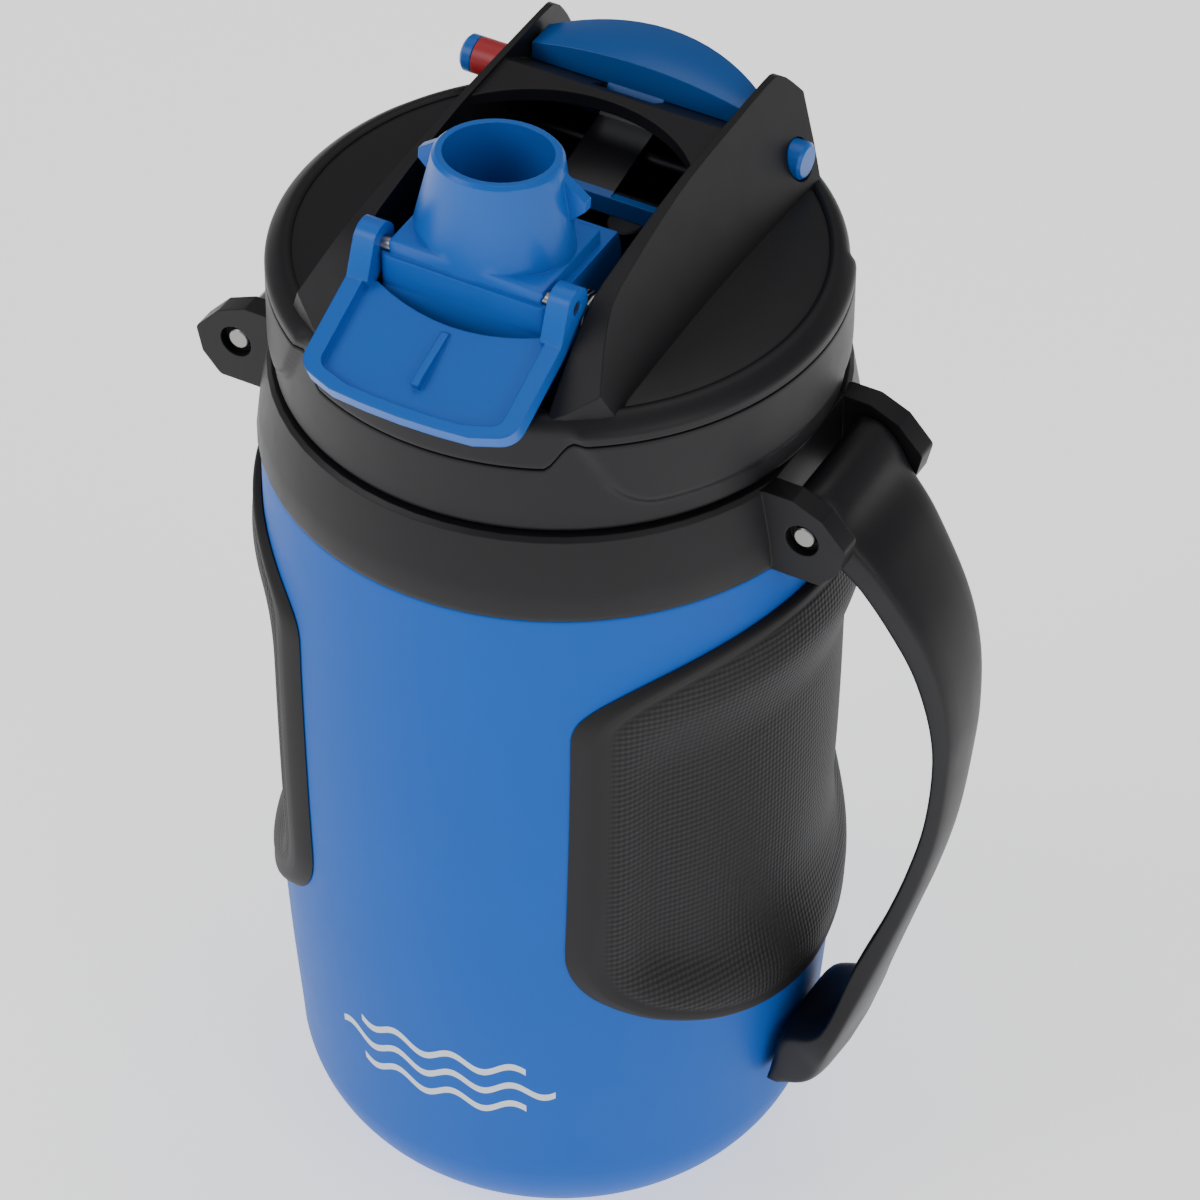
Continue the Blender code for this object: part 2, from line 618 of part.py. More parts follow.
def lid_gasket(mat):
    outer = LID_R - SKIRT_WALL - 0.5 * MM
    low = NECK_TOP + GAP
    high = low + GASKET_THICK
    profile = [(outer - GASKET_WIDTH, high), (outer - 0.4 * MM, high), (outer, high - 0.4 * MM),
               (outer, low + 0.4 * MM), (outer - 0.4 * MM, low), (outer - GASKET_WIDTH, low)]
    return finish(turned("lid_gasket", profile, 44, closed=True), mat)


def fin_profile():
    """The fins from the side: level ridge, blunt peak at the back, slope at the front."""
    keys = [(-62 * MM, up(244)), (-57.5 * MM, up(251.5)), (-50 * MM, up(260.0)), (-43 * MM, up(267.0)),
            (-35 * MM, up(272.8)), (-25 * MM, up(275.2)), (-10 * MM, up(277.6)), (5 * MM, up(279.3)),
            (25 * MM, RIDGE_Z), (42 * MM, RIDGE_Z + 0.4 * MM), (47.0 * MM, up(279.6)), (50.6 * MM, up(276.0)),
            (54.4 * MM, up(270.0)), (57.6 * MM, up(262.0)), (60.5 * MM, up(250.0))]
    return spline_through(keys, 2)


def fin_section(side):
    """A fin across the lid: upright inner face, outer face leaning in to the ridge."""
    top = RIDGE_Z + 3 * MM
    lean = (FIN_BASE_X - CHANNEL_HALF - FIN_TOP_WALL) / (RIDGE_Z - SHOULDER_Z)
    inner = CHANNEL_HALF
    points = [(inner, SEAM_Z - 4 * MM), (FIN_BASE_X + 3 * MM, SEAM_Z - 4 * MM), (FIN_BASE_X, SHOULDER_Z),
              (CHANNEL_HALF + FIN_TOP_WALL - lean * 3 * MM, top), (inner, top)]
    return points if side > 0 else [(-x, z) for x, z in reversed(points)]


def dome_profile(drop):
    """The cover's shoulder and its slightly domed top, moved inwards by drop."""
    outer = LID_R - drop
    points = [(0.0, SHOULDER_Z + 2.4 * MM - drop), (30 * MM, SHOULDER_Z + 1.9 * MM - drop),
              (48 * MM, SHOULDER_Z + 0.8 * MM - drop)]
    centre = (LID_R - 7.0 * MM, SHOULDER_Z - 6.6 * MM)
    points += arc(centre, 7.0 * MM - drop, 84, 0, 4)
    return points, outer


def lid_cover(mat):
    low = SEAM_FRONT_Z + 0.15 * MM
    seam = SEAM_Z + 0.15 * MM
    points, outer = dome_profile(0.0)
    obj = turned("lid_cover", points + [(outer, low), (0.0, low)], 60)
    for side in (1, -1):
        tag = "right" if side > 0 else "left"
        fin = plate("fin_" + tag, fin_section(side), "XZ", -62 * MM, 62 * MM, cutters)
        slab = plate("fin_side_" + tag, list(reversed(fin_profile())), "YZ", -0.08, 0.08, cutters)
        combine(fin, slab, "INTERSECT")
        wall = rod("fin_round_" + tag, (0, 0, up(200)), (0, 0, up(300)), LID_R - 1.6 * MM, 60, cutters)
        combine(fin, wall, "INTERSECT")
        combine(obj, fin, "UNION")
    combine(obj, hood_block(), "UNION")
    hollow, inner_r = dome_profile(COVER_WALL)
    combine(obj, turned("cover_hollow", hollow + [(inner_r, up(235)), (0.0, up(235))], 60, cutters))
    ring = turned("cover_trim", [(0.03, seam), (0.09, seam), (0.09, up(230)), (0.03, up(230))], 44, cutters, closed=True)
    combine(ring, sector("front_keep", SEAM_FRONT_HALF_ANGLE - 0.004, up(225), up(260)))
    combine(obj, ring)
    combine(obj, channel_cut())
    for side in (1, -1):
        across = (("bolt_hole", 60 * MM, BOLT_Y, BOLT_Z, BOLT_R + GAP),
                  ("axle_hole", CHANNEL_HALF + 3 * MM, LEVER_AXLE_Y, LEVER_AXLE_Z, LEVER_AXLE_R + RUNNING),
                  ("spout_pin_hole", CHANNEL_HALF + 3.5 * MM, SPOUT_Y, SPOUT_Z, SPOUT_PIN_R + RUNNING))
        for name, reach, y, z, radius in across:
            hole = rod("%s_%d" % (name, side), (side * 20 * MM, y, z), (side * reach, y, z), radius, 28, cutters)
            combine(obj, hole)
    return finish(obj, mat)


def hood_block():
    """The bridge between the fins behind the spout, and the lever's seat at its back."""
    side = [(6 * MM, RIDGE_Z - 1.6 * MM), (24 * MM, RIDGE_Z - 1.0 * MM), (33.5 * MM, up(273.4)),
            (34.2 * MM, SEAT_Z), (51.0 * MM, SEAT_Z), (56.5 * MM, up(262.0)), (59.5 * MM, up(246.0)),
            (6 * MM, up(246.0))]
    span = CHANNEL_HALF + 1 * MM
    block = plate("hood", list(reversed(side)), "YZ", -span, span, cutters)
    radius = (20 * MM) ** 2 / (2 * HOOD_EDGE_SAG) + HOOD_EDGE_SAG / 2
    centre = HOOD_EDGE_Y - radius
    combine(block, rod("hood_edge", (0, centre, up(240)), (0, centre, up(300)), radius, 96, cutters))
    wall = rod("hood_round", (0, 0, up(200)), (0, 0, up(300)), LID_R - 1.9 * MM, 60, cutters)
    combine(block, wall, "INTERSECT")
    opening = LEVER_ARM_HALF + 0.8 * MM
    combine(block, box("lever_gap", (-opening, 28 * MM, up(262)), (opening, 47.8 * MM, up(276.8)), cutters))
    return block


def channel_cut():
    """The channel between the fins, open above in front of the hood and closed by it behind."""
    under = RIDGE_Z - HOOD_WALL - 1.8 * MM
    side = [(-52.5 * MM, up(230)), (54.2 * MM, up(230)), (54.2 * MM, up(250)), (52.6 * MM, up(260.2)),
            (50.2 * MM, SEAT_Z - SEAT_WALL), (31.5 * MM, SEAT_Z - SEAT_WALL), (30.6 * MM, up(271.2)),
            (23.4 * MM, under), (5 * MM, under), (5 * MM, up(290)), (-66 * MM, up(290)), (-66 * MM, up(255.9)),
            (-52.5 * MM, up(255.9))]
    return plate("channel", side, "YZ", -CHANNEL_HALF, CHANNEL_HALF, cutters)


def spout_frame():
    """Turns the upright spout about its pivot by its small backward lean."""
    pivot = Matrix.Translation((0, SPOUT_Y, SPOUT_Z))
    return pivot @ Matrix.Rotation(-SPOUT_LEAN, 4, "X")


def neck_loft(name):
    """The spout's neck: round at the rim, wider than it is deep at its foot."""
    length = SPOUT_LENGTH
    rings = ((length, SPOUT_RIM_R - 0.8 * MM, SPOUT_RIM_R - 0.8 * MM), (length - 0.8 * MM, SPOUT_RIM_R, SPOUT_RIM_R),
             (length - 3.0 * MM, SPOUT_RIM_R + 0.5 * MM, SPOUT_RIM_R),
             (SPOUT_TOP + 1 * MM, SPOUT_FLARE_X, SPOUT_FLARE_Y), (4 * MM, SPOUT_FLARE_X, SPOUT_FLARE_Y - 0.6 * MM))
    sides = 44
    bm = bmesh.new()
    loops = []
    for z, half_x, half_y in rings:
        loops.append([bm.verts.new((half_x * math.cos(2 * math.pi * k / sides),
                                    half_y * math.sin(2 * math.pi * k / sides), z)) for k in range(sides)])
    for upper, lower in zip(loops, loops[1:]):
        for k in range(sides):
            bm.faces.new((upper[k], lower[k], lower[(k + 1) % sides], upper[(k + 1) % sides]))
    bm.faces.new(loops[0])
    bm.faces.new(list(reversed(loops[-1])))
    mesh = bpy.data.meshes.new(name)
    bm.to_mesh(mesh)
    bm.free()
    return add_mesh(name, mesh)


def spout(mat):
    obj = neck_loft("spout")
    obj.matrix_world = spout_frame()
    front = SPOUT_Y - SPOUT_FRONT
    top = SPOUT_Z + SPOUT_TOP
    drum = rod("spout_drum", (-SPOUT_HALF, SPOUT_Y, SPOUT_Z), (SPOUT_HALF, SPOUT_Y, SPOUT_Z), SPOUT_DRUM_R, 48,
               cutters)
    corners = [(-SPOUT_HALF - 0.01 * MM, front), (SPOUT_HALF + 0.01 * MM, front), (SPOUT_HALF + 0.01 * MM, -5 * MM),
               (-SPOUT_HALF - 0.01 * MM, -5 * MM)]
    trim = plate("spout_trim", rounded(corners, 2.0 * MM, 3), "XY", up(230), top - 3.4 * MM, cutters)
    combine(drum, trim, "INTERSECT")
    combine(obj, drum, "UNION")
    upper = box("spout_block_top", (-SPOUT_HALF + 1.4 * MM, front + 1.2 * MM, SPOUT_Z + 2 * MM),
                (SPOUT_HALF - 1.4 * MM, SPOUT_Y + 14 * MM, top), cutters)
    combine(obj, soften(upper, 1.2 * MM, 2), "UNION")
    for side in (1, -1):
        nub = plate("spout_nub_%d" % side, nub_outline(side), "XZ", -1.3 * MM, 1.3 * MM, cutters)
        nub.matrix_world = spout_frame() @ Matrix.Translation((0, 3.0 * MM, 0)) @ nub.matrix_world
        combine(obj, nub, "UNION")
        pin = rod("spout_bore_%d" % side, (side * 15 * MM, SPOUT_Y, SPOUT_Z), (side * 25 * MM, SPOUT_Y, SPOUT_Z),
                  SPOUT_PIN_R + RUNNING, 24, cutters)
        combine(obj, pin)
        eye = rod("cover_bore_%d" % side, (side * 16.5 * MM, COVER_Y, COVER_Z), (side * 25 * MM, COVER_Y, COVER_Z),
                  COVER_PIN_R + RUNNING, 24, cutters)
        combine(obj, eye)
    bore_top = SPOUT_LENGTH + 5 * MM
    bore = turned("spout_bore", [(0.0, bore_top), (SPOUT_BORE_R, bore_top),
                                 (SPOUT_BORE_R - 0.6 * MM, -30 * MM), (0.0, -30 * MM)], 36, cutters)
    bore.matrix_world = spout_frame()
    combine(obj, bore)
    return finish(obj, mat)


def nub_outline(side):
    """A small sloping catch on each side of the spout's neck."""
    points = [(13.5 * MM, 18.5 * MM), (16.6 * MM, 19.5 * MM), (20.3 * MM, 23.0 * MM), (20.3 * MM, 25.4 * MM),
              (13.5 * MM, 30.0 * MM)]
    return points if side > 0 else [(-x, z) for x, z in reversed(points)]


def stub_pin(name, side, inner, outer, y, z, radius, mat):
    """A short steel pin along X on one side."""
    obj = rod(name, (side * inner, y, z), (side * outer, y, z), radius, 20)
    return finish(soften(obj, 0.25 * MM, 1), mat)


def spout_spring(mat):
    """A torsion coil around the right spout pin, one leg on the deck, one beside the spout."""
    points = []
    radius = 4.4 * MM
    first = SPOUT_HALF + 1.2 * MM
    pitch = 1.25 * MM
    turns = 3.5
    count = int(turns * 12)
    points.append((first, SPOUT_Y - radius, SPOUT_Z - 14 * MM))
    points.append((first, SPOUT_Y - radius, SPOUT_Z - 4 * MM))
    for i in range(count + 1):
        t = math.pi - 2 * math.pi * turns * i / count
        points.append((first + pitch * turns * i / count, SPOUT_Y + radius * math.cos(t), SPOUT_Z + radius * math.sin(t)))
    last = points[-1]
    points.append((last[0], last[1], last[2] - 10 * MM))
    return finish(wire("spout_spring", points, 0.45 * MM), mat)


def spout_seal(mat):
    """A saddle ring in the drink port that follows the round underside of the spout."""
    inner = 8.4 * MM
    outer = 11.0 * MM - GAP
    low = DECK_Z + 0.4 * MM
    profile = [(inner, DECK_Z + 12 * MM), (outer, DECK_Z + 12 * MM), (outer, low - 2.4 * MM), (inner, low - 2.4 * MM)]
    obj = turned("spout_seal", profile, 32, closed=True)
    obj.location = (0.0, SPOUT_Y, 0.0)
    drum = rod("drum_clearance_seal", (-30 * MM, SPOUT_Y, SPOUT_Z), (30 * MM, SPOUT_Y, SPOUT_Z),
               SPOUT_DRUM_R + GAP, 48, cutters)
    combine(obj, drum)
    ceiling = box("seal_ceiling", (-30 * MM, -60 * MM, SPOUT_Z - 8 * MM), (30 * MM, 0.0, up(290)), cutters)
    combine(obj, ceiling)
    return finish(obj, mat)


def cover_frame():
    """Local frame of the flip cover: local +Y runs along the open plate, +Z is its inner side."""
    turn = Matrix.Rotation(math.pi, 4, "Z") @ Matrix.Rotation(-COVER_OPEN, 4, "X")
    return Matrix.Translation((0, COVER_Y, COVER_Z)) @ turn


def spout_cover(mat):
    far = COVER_LENGTH
    half = COVER_HALF
    sag = 2.0 * MM
    outline = [(-half, 2.0 * MM), (half, 2.0 * MM)]
    outline += arc((half - 5 * MM, far - sag - 5.5 * MM), 5 * MM, 0, 75, 5)
    outline += [(x * MM, far - sag * (x * MM / half) ** 2) for x in (17, 9, 0, -9, -17)]
    outline += arc((-half + 5 * MM, far - sag - 5.5 * MM), 5 * MM, 105, 180, 5)
    top = -COVER_RIM_OFFSET
    obj = plate("spout_cover", outline, "XY", top - COVER_THICK, top)
    inner = far - 2.6 * MM
    side = half - 4.0 * MM
    recess = [(-side, -3.0 * MM), (side, -3.0 * MM)]
    recess += arc((side - 3 * MM, inner - sag - 3.2 * MM), 3 * MM, 0, 75, 4)
    recess += [(x * MM, inner - sag * (x * MM / half) ** 2) for x in (14, 7, 0, -7, -14)]
    recess += arc((-side + 3 * MM, inner - sag - 3.2 * MM), 3 * MM, 105, 180, 4)
    combine(obj, plate("cover_recess", recess, "XY", top - 2.3 * MM, 0.02, cutters))
    hinge_side = 20.6 * MM
    edge = [(x * MM, 11.4 * MM - 4.4 * MM * (x / 20.0) ** 2) for x in range(20, -21, -4)]
    edge = [(hinge_side + 0.6 * MM, 6.9 * MM)] + edge + [(-hinge_side - 0.6 * MM, 6.9 * MM)]
    bite = edge + [(-hinge_side - 0.6 * MM, -6 * MM), (hinge_side + 0.6 * MM, -6 * MM)]
    combine(obj, plate("cover_bite", bite, "XY", -0.03, 0.02, cutters))
    rib = plate("cover_rib", [(12.6 * MM, top - 3 * MM), (27.5 * MM, top - 3 * MM), (27.5 * MM, top - 0.3 * MM),
                              (24.5 * MM, top - 0.3 * MM), (13.4 * MM, top - 1.6 * MM)], "YZ", -0.9 * MM, 0.9 * MM, cutters)
    combine(obj, rib, "UNION")
    for side_sign in (1, -1):
        low, high = sorted((side_sign * (SPOUT_HALF + 0.5 * MM), side_sign * half))
        arm = arc((0.0, 0.0), COVER_EYE_R, 60, 270, 12) + [(9.0 * MM, top - COVER_THICK), (9.0 * MM, top)]
        eye = plate("cover_eye_%d" % side_sign, arm, "YZ", low, high, cutters)
        combine(obj, eye, "UNION")
        hole = rod("cover_hole_%d" % side_sign, (side_sign * 15 * MM, 0, 0), (side_sign * 30 * MM, 0, 0),
                   COVER_PIN_R + RUNNING, 24, cutters)
        combine(obj, hole)
    for cutter in [m.object for m in obj.modifiers]:
        cutter.matrix_world = cover_frame() @ cutter.matrix_world
    obj.matrix_world = cover_frame()
    return finish(obj, mat)


def release_lever(mat):
    """A crescent push pad on an arm that hooks the folded spout with its nose bar."""
    start = math.degrees(math.acos(LEVER_HALF / LEVER_R))
    outline = [(-LEVER_HALF, LEVER_CHORD_Y), (LEVER_HALF, LEVER_CHORD_Y)]
    outline += arc((0.0, 0.0), LEVER_R, start, 180 - start, 16)
    low = LEVER_EDGE_Z - LEVER_THICK
    obj = plate("release_lever", outline, "XY", low, LEVER_EDGE_Z + LEVER_CROWN)
    radius = LEVER_HALF ** 2 / (2 * LEVER_CROWN) + LEVER_CROWN / 2
    crown_z = LEVER_EDGE_Z + LEVER_CROWN - radius
    crown = rod("lever_crown", (0, 0, crown_z), (0, 0.06, crown_z), radius, 256, cutters)
    combine(obj, crown, "INTERSECT")
    soften(obj, 0.8 * MM, 2, 50)
    side = [(46.0 * MM, up(275.0)), (35.8 * MM, up(275.0)), (30.0 * MM, up(267.2)), (NOSE_Y, NOSE_TOP),
            (NOSE_Y, up(258.0)), (NOSE_Y + 3.2 * MM, up(258.0)), (22.0 * MM, up(259.2)), (30.0 * MM, up(259.2)),
            (37.0 * MM, up(269.7)), (46.0 * MM, up(269.9))]
    combine(obj, plate("lever_arm", side, "YZ", -LEVER_ARM_HALF, LEVER_ARM_HALF, cutters), "UNION")
    rib = box("lever_rib", (-RIB_HALF, 39.2 * MM, up(267.0)), (RIB_HALF, 45.2 * MM, up(271.0)), cutters)
    combine(obj, rib, "UNION")
    nose = box("lever_nose", (-22 * MM, NOSE_Y, up(258.0)), (22 * MM, NOSE_Y + 3.0 * MM, NOSE_TOP), cutters)
    combine(obj, nose, "UNION")
    hole = rod("lever_bore", (-40 * MM, LEVER_AXLE_Y, LEVER_AXLE_Z), (40 * MM, LEVER_AXLE_Y, LEVER_AXLE_Z),
               LEVER_AXLE_R + RUNNING, 24, cutters)
    combine(obj, hole)
    return finish(obj, mat)


def lever_spring(name, side, mat):
    """A short compression coil between the seat and the underside of the pad."""
    low = SEAT_Z + GAP + SPRING_WIRE
    high = LEVER_EDGE_Z - LEVER_THICK - GAP - SPRING_WIRE
    turns = 2.5
    count = int(turns * 10)
    points = []
    for i in range(count + 1):
        t = 2 * math.pi * turns * i / count
        points.append((side * SPRING_X + SPRING_R * math.cos(t), SPRING_Y + SPRING_R * math.sin(t),
                       low + (high - low) * i / count))
    return finish(wire(name, points, SPRING_WIRE), mat)


def bolt_frame():
    """Turns a shape made about Z, from z = 0 upwards, onto the bolt's axis from its left end."""
    return Matrix.Translation((BOLT_LEFT_X, BOLT_Y, BOLT_Z)) @ Matrix.Rotation(math.pi / 2, 4, "Y")


def lock_bolt(mat):
    """A turned bolt: a groove for the band, and a notch that lets the lever down when it lines up."""
    length = BOLT_RIGHT_X - BOLT_LEFT_X
    notch = -BOLT_LEFT_X + NOTCH_X
    core = BOLT_R - BAND_DEPTH
    bevel = 0.7 * MM
    profile = [(0.0, length), (BOLT_R - bevel, length), (BOLT_R, length - bevel),
               (BOLT_R, notch + NOTCH_HALF), (NOTCH_R, notch + NOTCH_HALF), (NOTCH_R, notch - NOTCH_HALF),
               (BOLT_R, notch - NOTCH_HALF), (BOLT_R, BAND_START + BAND_WIDTH), (core, BAND_START + BAND_WIDTH),
               (core, BAND_START), (BOLT_R, BAND_START), (BOLT_R, bevel), (BOLT_R - bevel, 0.0), (0.0, 0.0)]
    obj = turned("lock_bolt", profile, 24)
    obj.matrix_world = bolt_frame()
    return finish(obj, mat)


def lock_band(mat):
    """The warning ring in the bolt's groove."""
    inner = BOLT_R - BAND_DEPTH + 0.15 * MM
    low = BAND_START + 0.15 * MM
    high = BAND_START + BAND_WIDTH - 0.15 * MM
    obj = turned("lock_band", [(inner, high), (BOLT_R, high), (BOLT_R, low), (inner, low)], 24, closed=True)
    obj.matrix_world = bolt_frame()
    return finish(obj, mat)


def build():
    body_blue = material("body_blue", BODY_BLUE, 0.42)
    trim_blue = material("trim_blue", TRIM_BLUE, 0.34)
    lever_blue = material("lever_blue", (0.0, 0.085, 0.31), 0.36)
    black = material("black_plastic", BLACK, 0.45)
    rubber = material("grip_rubber", (0.016, 0.015, 0.017), 0.62)
    white = material("liner_white", (0.72, 0.73, 0.74), 0.4)
    foam = material("foam", (0.75, 0.68, 0.45), 0.9)
    silicone = material("silicone", (0.55, 0.56, 0.57), 0.5)
    steel = material("steel", (0.56, 0.55, 0.53), 0.3, 1.0)
    red = material("lock_red", (0.36, 0.012, 0.018), 0.4)

    outer_shell(body_blue)
    foam_insulation(foam)
    inner_liner(white)
    grip_pad("grip_pad_right", 1, rubber)
    grip_pad("grip_pad_left", -1, rubber)
    collar_ring(black)
    clevis_pin("handle_pin", 1, False, steel)
    clevis_pin("strap_pin", -1, True, steel)
    side_handle(black)
    lid_base(black)
    lid_gasket(silicone)
    lid_cover(black)
    vent_valve(silicone)
    spout_seal(silicone)
    spout(trim_blue)
    for side, tag in ((1, "right"), (-1, "left")):
        stub_pin("spout_pin_" + tag, side, 15.2 * MM, CHANNEL_HALF + 3.2 * MM, SPOUT_Y, SPOUT_Z, SPOUT_PIN_R, steel)
        stub_pin("cover_pin_" + tag, side, 16.8 * MM, COVER_HALF - 0.4 * MM, COVER_Y, COVER_Z, COVER_PIN_R, steel)
    spout_spring(steel)
    spout_cover(trim_blue)
    release_lever(lever_blue)
    axle = rod("lever_axle", (-CHANNEL_HALF - 2.7 * MM, LEVER_AXLE_Y, LEVER_AXLE_Z),
               (CHANNEL_HALF + 2.7 * MM, LEVER_AXLE_Y, LEVER_AXLE_Z), LEVER_AXLE_R, 24)
    finish(axle, steel)
    for side, tag in ((1, "right"), (-1, "left")):
        lever_spring("lever_spring_" + tag, side, steel)
    lock_bolt(trim_blue)
    lock_band(red)


build()
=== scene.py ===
import bmesh
import bpy
import json
import math
import numpy as np
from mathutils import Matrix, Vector


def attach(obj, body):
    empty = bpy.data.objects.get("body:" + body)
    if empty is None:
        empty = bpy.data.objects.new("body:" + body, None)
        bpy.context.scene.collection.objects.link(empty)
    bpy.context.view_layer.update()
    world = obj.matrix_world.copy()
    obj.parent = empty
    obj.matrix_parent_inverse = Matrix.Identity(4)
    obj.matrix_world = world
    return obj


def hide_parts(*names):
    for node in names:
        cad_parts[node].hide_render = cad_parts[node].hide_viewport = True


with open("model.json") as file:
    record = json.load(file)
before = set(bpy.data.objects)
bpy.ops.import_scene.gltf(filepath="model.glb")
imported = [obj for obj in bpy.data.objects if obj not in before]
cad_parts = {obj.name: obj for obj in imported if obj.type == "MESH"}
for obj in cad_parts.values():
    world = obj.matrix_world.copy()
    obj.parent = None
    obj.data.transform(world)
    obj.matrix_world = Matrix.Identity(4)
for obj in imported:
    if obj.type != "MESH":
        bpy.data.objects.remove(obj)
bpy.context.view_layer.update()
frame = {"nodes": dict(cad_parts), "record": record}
mm = 0.001


# surface tools

def makeMesh(name, points, faces, uvs=None):
    # one closed mesh from an array of points and rows of corner numbers
    mesh = bpy.data.meshes.new(name)
    mesh.from_pydata(points.tolist(), [], [list(f) for f in faces])
    if uvs is not None:
        layer = mesh.uv_layers.new(name="UVMap")
        loops = np.zeros(len(mesh.loops), np.int32)
        mesh.loops.foreach_get("vertex_index", loops)
        layer.data.foreach_set("uv", uvs[loops].astype(np.float32).ravel())
    shell = bmesh.new()
    shell.from_mesh(mesh)
    bmesh.ops.remove_doubles(shell, verts=shell.verts, dist=1e-6)
    bmesh.ops.recalc_face_normals(shell, faces=shell.faces)
    shell.to_mesh(mesh)
    shell.free()
    mesh.shade_smooth()
    mesh.set_sharp_from_angle(angle=math.radians(38))
    piece = bpy.data.objects.new(name, mesh)
    bpy.context.scene.collection.objects.link(piece)
    return piece


def cornersOf(piece):
    spots = np.zeros(len(piece.data.vertices) * 3, np.float32)
    piece.data.vertices.foreach_get("co", spots)
    return spots.reshape(-1, 3)


def moveCorners(piece, spots):
    piece.data.vertices.foreach_set("co", spots.ravel())
    piece.data.update()


def gridFaces(rows, cols, wrapRows=False, wrapCols=False, start=0):
    # four corner numbers for every cell of a rows x cols grid; a wrapped side joins its first line
    i = np.arange(rows if wrapRows else rows - 1)[:, None]
    j = np.arange(cols if wrapCols else cols - 1)[None, :]
    nextI, nextJ = (i + 1) % rows, (j + 1) % cols
    cells = np.stack([i * cols + j + 0 * j, nextI * cols + j, nextI * cols + nextJ, i * cols + nextJ], -1)
    return (cells.reshape(-1, 4) + start).tolist()


def capFace(cols, row):
    # one flat face over a whole ring of the grid
    return [(row * cols + np.arange(cols)).tolist()]


def smoothLine(keys, count):
    # Catmull-Rom through the keys: half of (2b + (c-a)t + (2a-5b+4c-d)t^2 + (3b-a-3c+d)t^3) for each span
    keys = np.asarray(keys, float)
    ends = np.vstack([2 * keys[:1] - keys[1:2], keys, 2 * keys[-1:] - keys[-2:-1]])
    a, b, c, d = (ends[k:len(ends) - 3 + k, None, :] for k in range(4))
    t = (np.arange(count) / count)[None, :, None]
    spans = 0.5 * (2 * b + (c - a) * t + (2 * a - 5 * b + 4 * c - d) * t ** 2 + (3 * b - a - 3 * c + d) * t ** 3)
    return np.vstack([spans.reshape(-1, keys.shape[1]), keys[-1:]])


def arcLine(centre, radius, first, last, count):
    # centre + radius (cos t, sin t) while t runs from first to last degrees
    t = np.radians(np.linspace(first, last, count))
    return np.stack([centre[0] + radius * np.cos(t), centre[1] + radius * np.sin(t)], -1)


def turnedGrid(profile, steps):
    # each (r, z) of the profile is carried round the axis: (r sin a, -r cos a, z)
    turn = np.linspace(0, 2 * np.pi, steps, endpoint=False)
    r, z = profile[:, 0][:, None], profile[:, 1][:, None]
    return np.stack([r * np.sin(turn), -r * np.cos(turn), z + 0 * turn], -1)


def outlineDistance(points, outline):
    # shortest distance from each point to the closed outline
    a, b = outline, np.roll(outline, -1, 0)
    along = b - a
    best = np.full(len(points), 1e9)
    for k in range(len(a)):
        t = np.clip(((points - a[k]) @ along[k]) / max(along[k] @ along[k], 1e-18), 0, 1)
        best = np.minimum(best, np.linalg.norm(points - a[k] - t[:, None] * along[k], axis=1))
    return best


# shader maths

class Wire:
    # one number socket; the operators add Math nodes
    def __init__(self, tree, socket):
        self.tree, self.socket = tree, socket

    def join(self, operation, other, flip=False):
        node = self.tree.nodes.new("ShaderNodeMath")
        node.operation = operation
        pair = [other, self] if flip else [self, other]
        for slot, value in zip(node.inputs, pair):
            if isinstance(value, Wire):
                self.tree.links.new(value.socket, slot)
            elif value is not None:
                slot.default_value = value
        return Wire(self.tree, node.outputs[0])

    def __add__(self, other): return self.join("ADD", other)
    def __radd__(self, other): return self.join("ADD", other, True)
    def __sub__(self, other): return self.join("SUBTRACT", other)
    def __rsub__(self, other): return self.join("SUBTRACT", other, True)
    def __mul__(self, other): return self.join("MULTIPLY", other)
    def __rmul__(self, other): return self.join("MULTIPLY", other, True)
    def less(self, other): return self.join("LESS_THAN", other)
    def more(self, other): return self.join("GREATER_THAN", other)
    def sine(self): return self.join("SINE", None)
    def size(self): return self.join("ABSOLUTE", None)
    def highest(self, other): return self.join("MAXIMUM", other)


class Finish:
    # a material being wired up around its Principled shader
    def __init__(self, name):
        self.material = bpy.data.materials.new(name)
        self.material.use_nodes = True
        self.tree = self.material.node_tree
        self.shader = self.tree.nodes["Principled BSDF"]

    def node(self, kind, settings=None, values=None):
        node = self.tree.nodes.new(kind)
        for key, value in (settings or {}).items():
            setattr(node, key, value)
        for key, value in (values or {}).items():
            self.put(node.inputs[key], value)
        return node

    def put(self, slot, value):
        if isinstance(value, Wire):
            value = value.socket
        if isinstance(value, bpy.types.NodeSocket):
            self.tree.links.new(value, slot)
        else:
            slot.default_value = value

    def wire(self, node, output=0):
        return Wire(self.tree, node.outputs[output])

    def place(self):
        return self.node("ShaderNodeTexCoord").outputs["Object"]

    def noise(self, scale, detail=3.0, roughness=0.55, where=None):
        made = self.node("ShaderNodeTexNoise", None, {"Vector": where or self.place(), "Scale": scale,
                                                      "Detail": detail, "Roughness": roughness})
        return self.wire(made)

    def blend(self, mask, low, high):
        made = self.node("ShaderNodeMix", {"data_type": "RGBA"}, {0: mask, 6: low, 7: high})
        return made.outputs[2]

    def span(self, value, low, high, first=0.0, last=1.0):
        made = self.node("ShaderNodeMapRange", None, {"Value": value, "From Min": first, "From Max": last,
                                                      "To Min": low, "To Max": high})
        return self.wire(made)


def shade(colour, gain):
    return (colour[0] * gain, colour[1] * gain, colour[2] * gain, 1.0)


